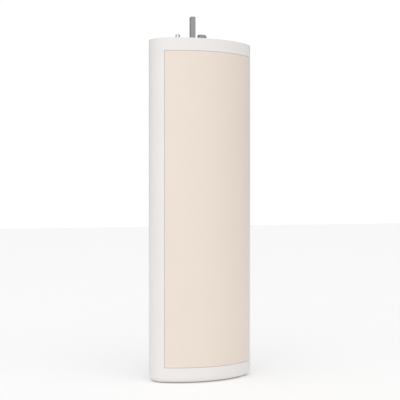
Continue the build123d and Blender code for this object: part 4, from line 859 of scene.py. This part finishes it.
# Mains inlet and control socket: black thermoplastic mouldings behind the lower cap's
# openings, with two nickel plated pins and six sprung contacts plated with gold.
inlet_plastic = moulded_plastic(
    "inlet plastic", (0.016, 0.016, 0.017), (0.024, 0.024, 0.025), (0.3, 0.42)
)
softened("mains_inlet", inlet_plastic, 0.0003, 3)
softened("control_socket", inlet_plastic, 0.0002)
nickel = worked_metal(
    "nickel plate", (0.66, 0.64, 0.60), (0.58, 0.56, 0.52), (1.0, 1.0, 1.0), (0.15, 0.25)
)
softened("inlet_pins", nickel, 0.0005, 4)
gold = worked_metal(
    "gold plate", (0.80, 0.56, 0.24), (0.72, 0.48, 0.19), (1.0, 1.0, 1.0), (0.15, 0.25)
)
softened("socket_contacts", gold, 0.00008, 1)

# Programming button and status light: a grey moulded button that works a push switch
# from below, and a clear acrylic rod that brings the board's light down to the cap's
# outer face.
softened("tact_switch", black_nylon, 0.0002)
grey_button = moulded_plastic(
    "grey button", (0.20, 0.20, 0.21), (0.17, 0.17, 0.18), (0.4, 0.5)
)
softened("program_button", grey_button, 0.0004, 3)
clear_colours = ((0.90, 0.93, 0.93), (0.86, 0.90, 0.90))
clear_acrylic, clear_shader = skinned(
    "clear acrylic", moulded_skin, clear_colours, (0.06, 0.12), 0.1, 0.00001
)[:2]
clear_shader.inputs["IOR"].default_value = 1.49
clear_shader.inputs["Transmission Weight"].default_value = 0.7
softened("light_pipe", clear_acrylic, 0.0003, 3)

# Floor: a plain pale table that the part stands on. It lies a hair under the part,
# so that the two faces don't share one plane.
floor_side, floor_gap = 8.0, 0.0004
shape = bmesh.new()
bmesh.ops.create_grid(shape, x_segments=1, y_segments=1, size=floor_side / 2)
bmesh.ops.translate(shape, verts=shape.verts, vec=(0.0, 0.0, -floor_gap))
floor_mesh = bpy.data.meshes.new("floor")
shape.to_mesh(floor_mesh)
shape.free()
floor = bpy.data.objects.new("floor", floor_mesh)
bpy.context.scene.collection.objects.link(floor)
floor_colours = ((1.0, 1.0, 1.0), (0.985, 0.985, 0.985))
pale_floor, floor_shader = skinned(
    "pale floor", moulded_skin, floor_colours, (0.85, 0.95), 0.1, 0.00001
)[:2]
floor_shader.inputs["Emission Color"].default_value = (1.0, 1.0, 1.0, 1.0)
floor_shader.inputs["Emission Strength"].default_value = 0.06
floor_mesh.materials.append(pale_floor)

# Light: a soft pale room, brighter from the camera's side and from above and darker
# to its left and right, so that the outline reads against white, with a wide soft
# lamp to the left for the steel to catch. The camera sees the room as plain white.
brighter_way, room_strength = (-0.21, -0.34, 0.36), 0.752
darker_way, side_loss, seen_strength = (0.884, -0.468, 0.0), 0.34, 1.02
world = bpy.data.worlds.new("pale room")
bpy.context.scene.world = world
world.use_nodes = True
room = world.node_tree
room_link = room.links.new
room_light = room.nodes["Background"]
outward = room.nodes.new("ShaderNodeTexCoord")
towards_camera = room.nodes.new("ShaderNodeVectorMath")
towards_camera.operation = "DOT_PRODUCT"
towards_camera.inputs[1].default_value = brighter_way
room_link(outward.outputs["Generated"], towards_camera.inputs[0])
room_level = room.nodes.new("ShaderNodeMath")
room_level.operation = "ADD"
room_level.inputs[1].default_value = room_strength
room_link(towards_camera.outputs["Value"], room_level.inputs[0])
across_camera = room.nodes.new("ShaderNodeVectorMath")
across_camera.operation = "DOT_PRODUCT"
across_camera.inputs[1].default_value = darker_way
room_link(outward.outputs["Generated"], across_camera.inputs[0])
side_way = room.nodes.new("ShaderNodeMath")
side_way.operation = "POWER"
side_way.inputs[1].default_value = 2.0
room_link(across_camera.outputs["Value"], side_way.inputs[0])
side_fall = room.nodes.new("ShaderNodeMath")
side_fall.operation = "MULTIPLY_ADD"
side_fall.inputs[1].default_value = -side_loss
room_link(side_way.outputs["Value"], side_fall.inputs[0])
room_link(room_level.outputs["Value"], side_fall.inputs[2])
room_link(side_fall.outputs["Value"], room_light.inputs["Strength"])
seen = room.nodes.new("ShaderNodeBackground")
seen.inputs["Strength"].default_value = seen_strength
for background in (room_light, seen):
    background.inputs["Color"].default_value = (1.0, 1.0, 1.0, 1.0)
path = room.nodes.new("ShaderNodeLightPath")
either = room.nodes.new("ShaderNodeMixShader")
room_link(path.outputs["Is Camera Ray"], either.inputs["Fac"])
room_link(room_light.outputs["Background"], either.inputs[1])
room_link(seen.outputs["Background"], either.inputs[2])
room_link(either.outputs["Shader"], room.nodes["World Output"].inputs["Surface"])

key_place = Vector((-0.95, -1.15, 0.80))
key_aim = Vector((0.0, 0.0, 0.13))
key_side, key_power = 1.2, 1.2
key_data = bpy.data.lights.new("key", "AREA")
key_data.size = key_side
key_data.energy = key_power
key = bpy.data.objects.new("key", key_data)
key.location = key_place
key.rotation_mode = "QUATERNION"
key.rotation_quaternion = (key_aim - key_place).to_track_quat("-Z", "Y")
bpy.context.scene.collection.objects.link(key)

# Camera: level, near the height of the part's middle, to the left of the panel and
# turned to face it, as the photograph was taken.
camera_place = (-0.3646, -0.6920, 0.1377)
camera_way = Vector((0.468, 0.884, 0.0))
camera_data = bpy.data.cameras.new("camera")
camera_data.lens = 90.0
camera_data.sensor_width = 36.0
camera_data.clip_start = 0.01
camera = bpy.data.objects.new("camera", camera_data)
camera.location = camera_place
camera.rotation_mode = "QUATERNION"
camera.rotation_quaternion = camera_way.to_track_quat("-Z", "Y")
bpy.context.scene.collection.objects.link(camera)
bpy.context.scene.camera = camera
bpy.context.scene.view_settings.view_transform = "Standard"
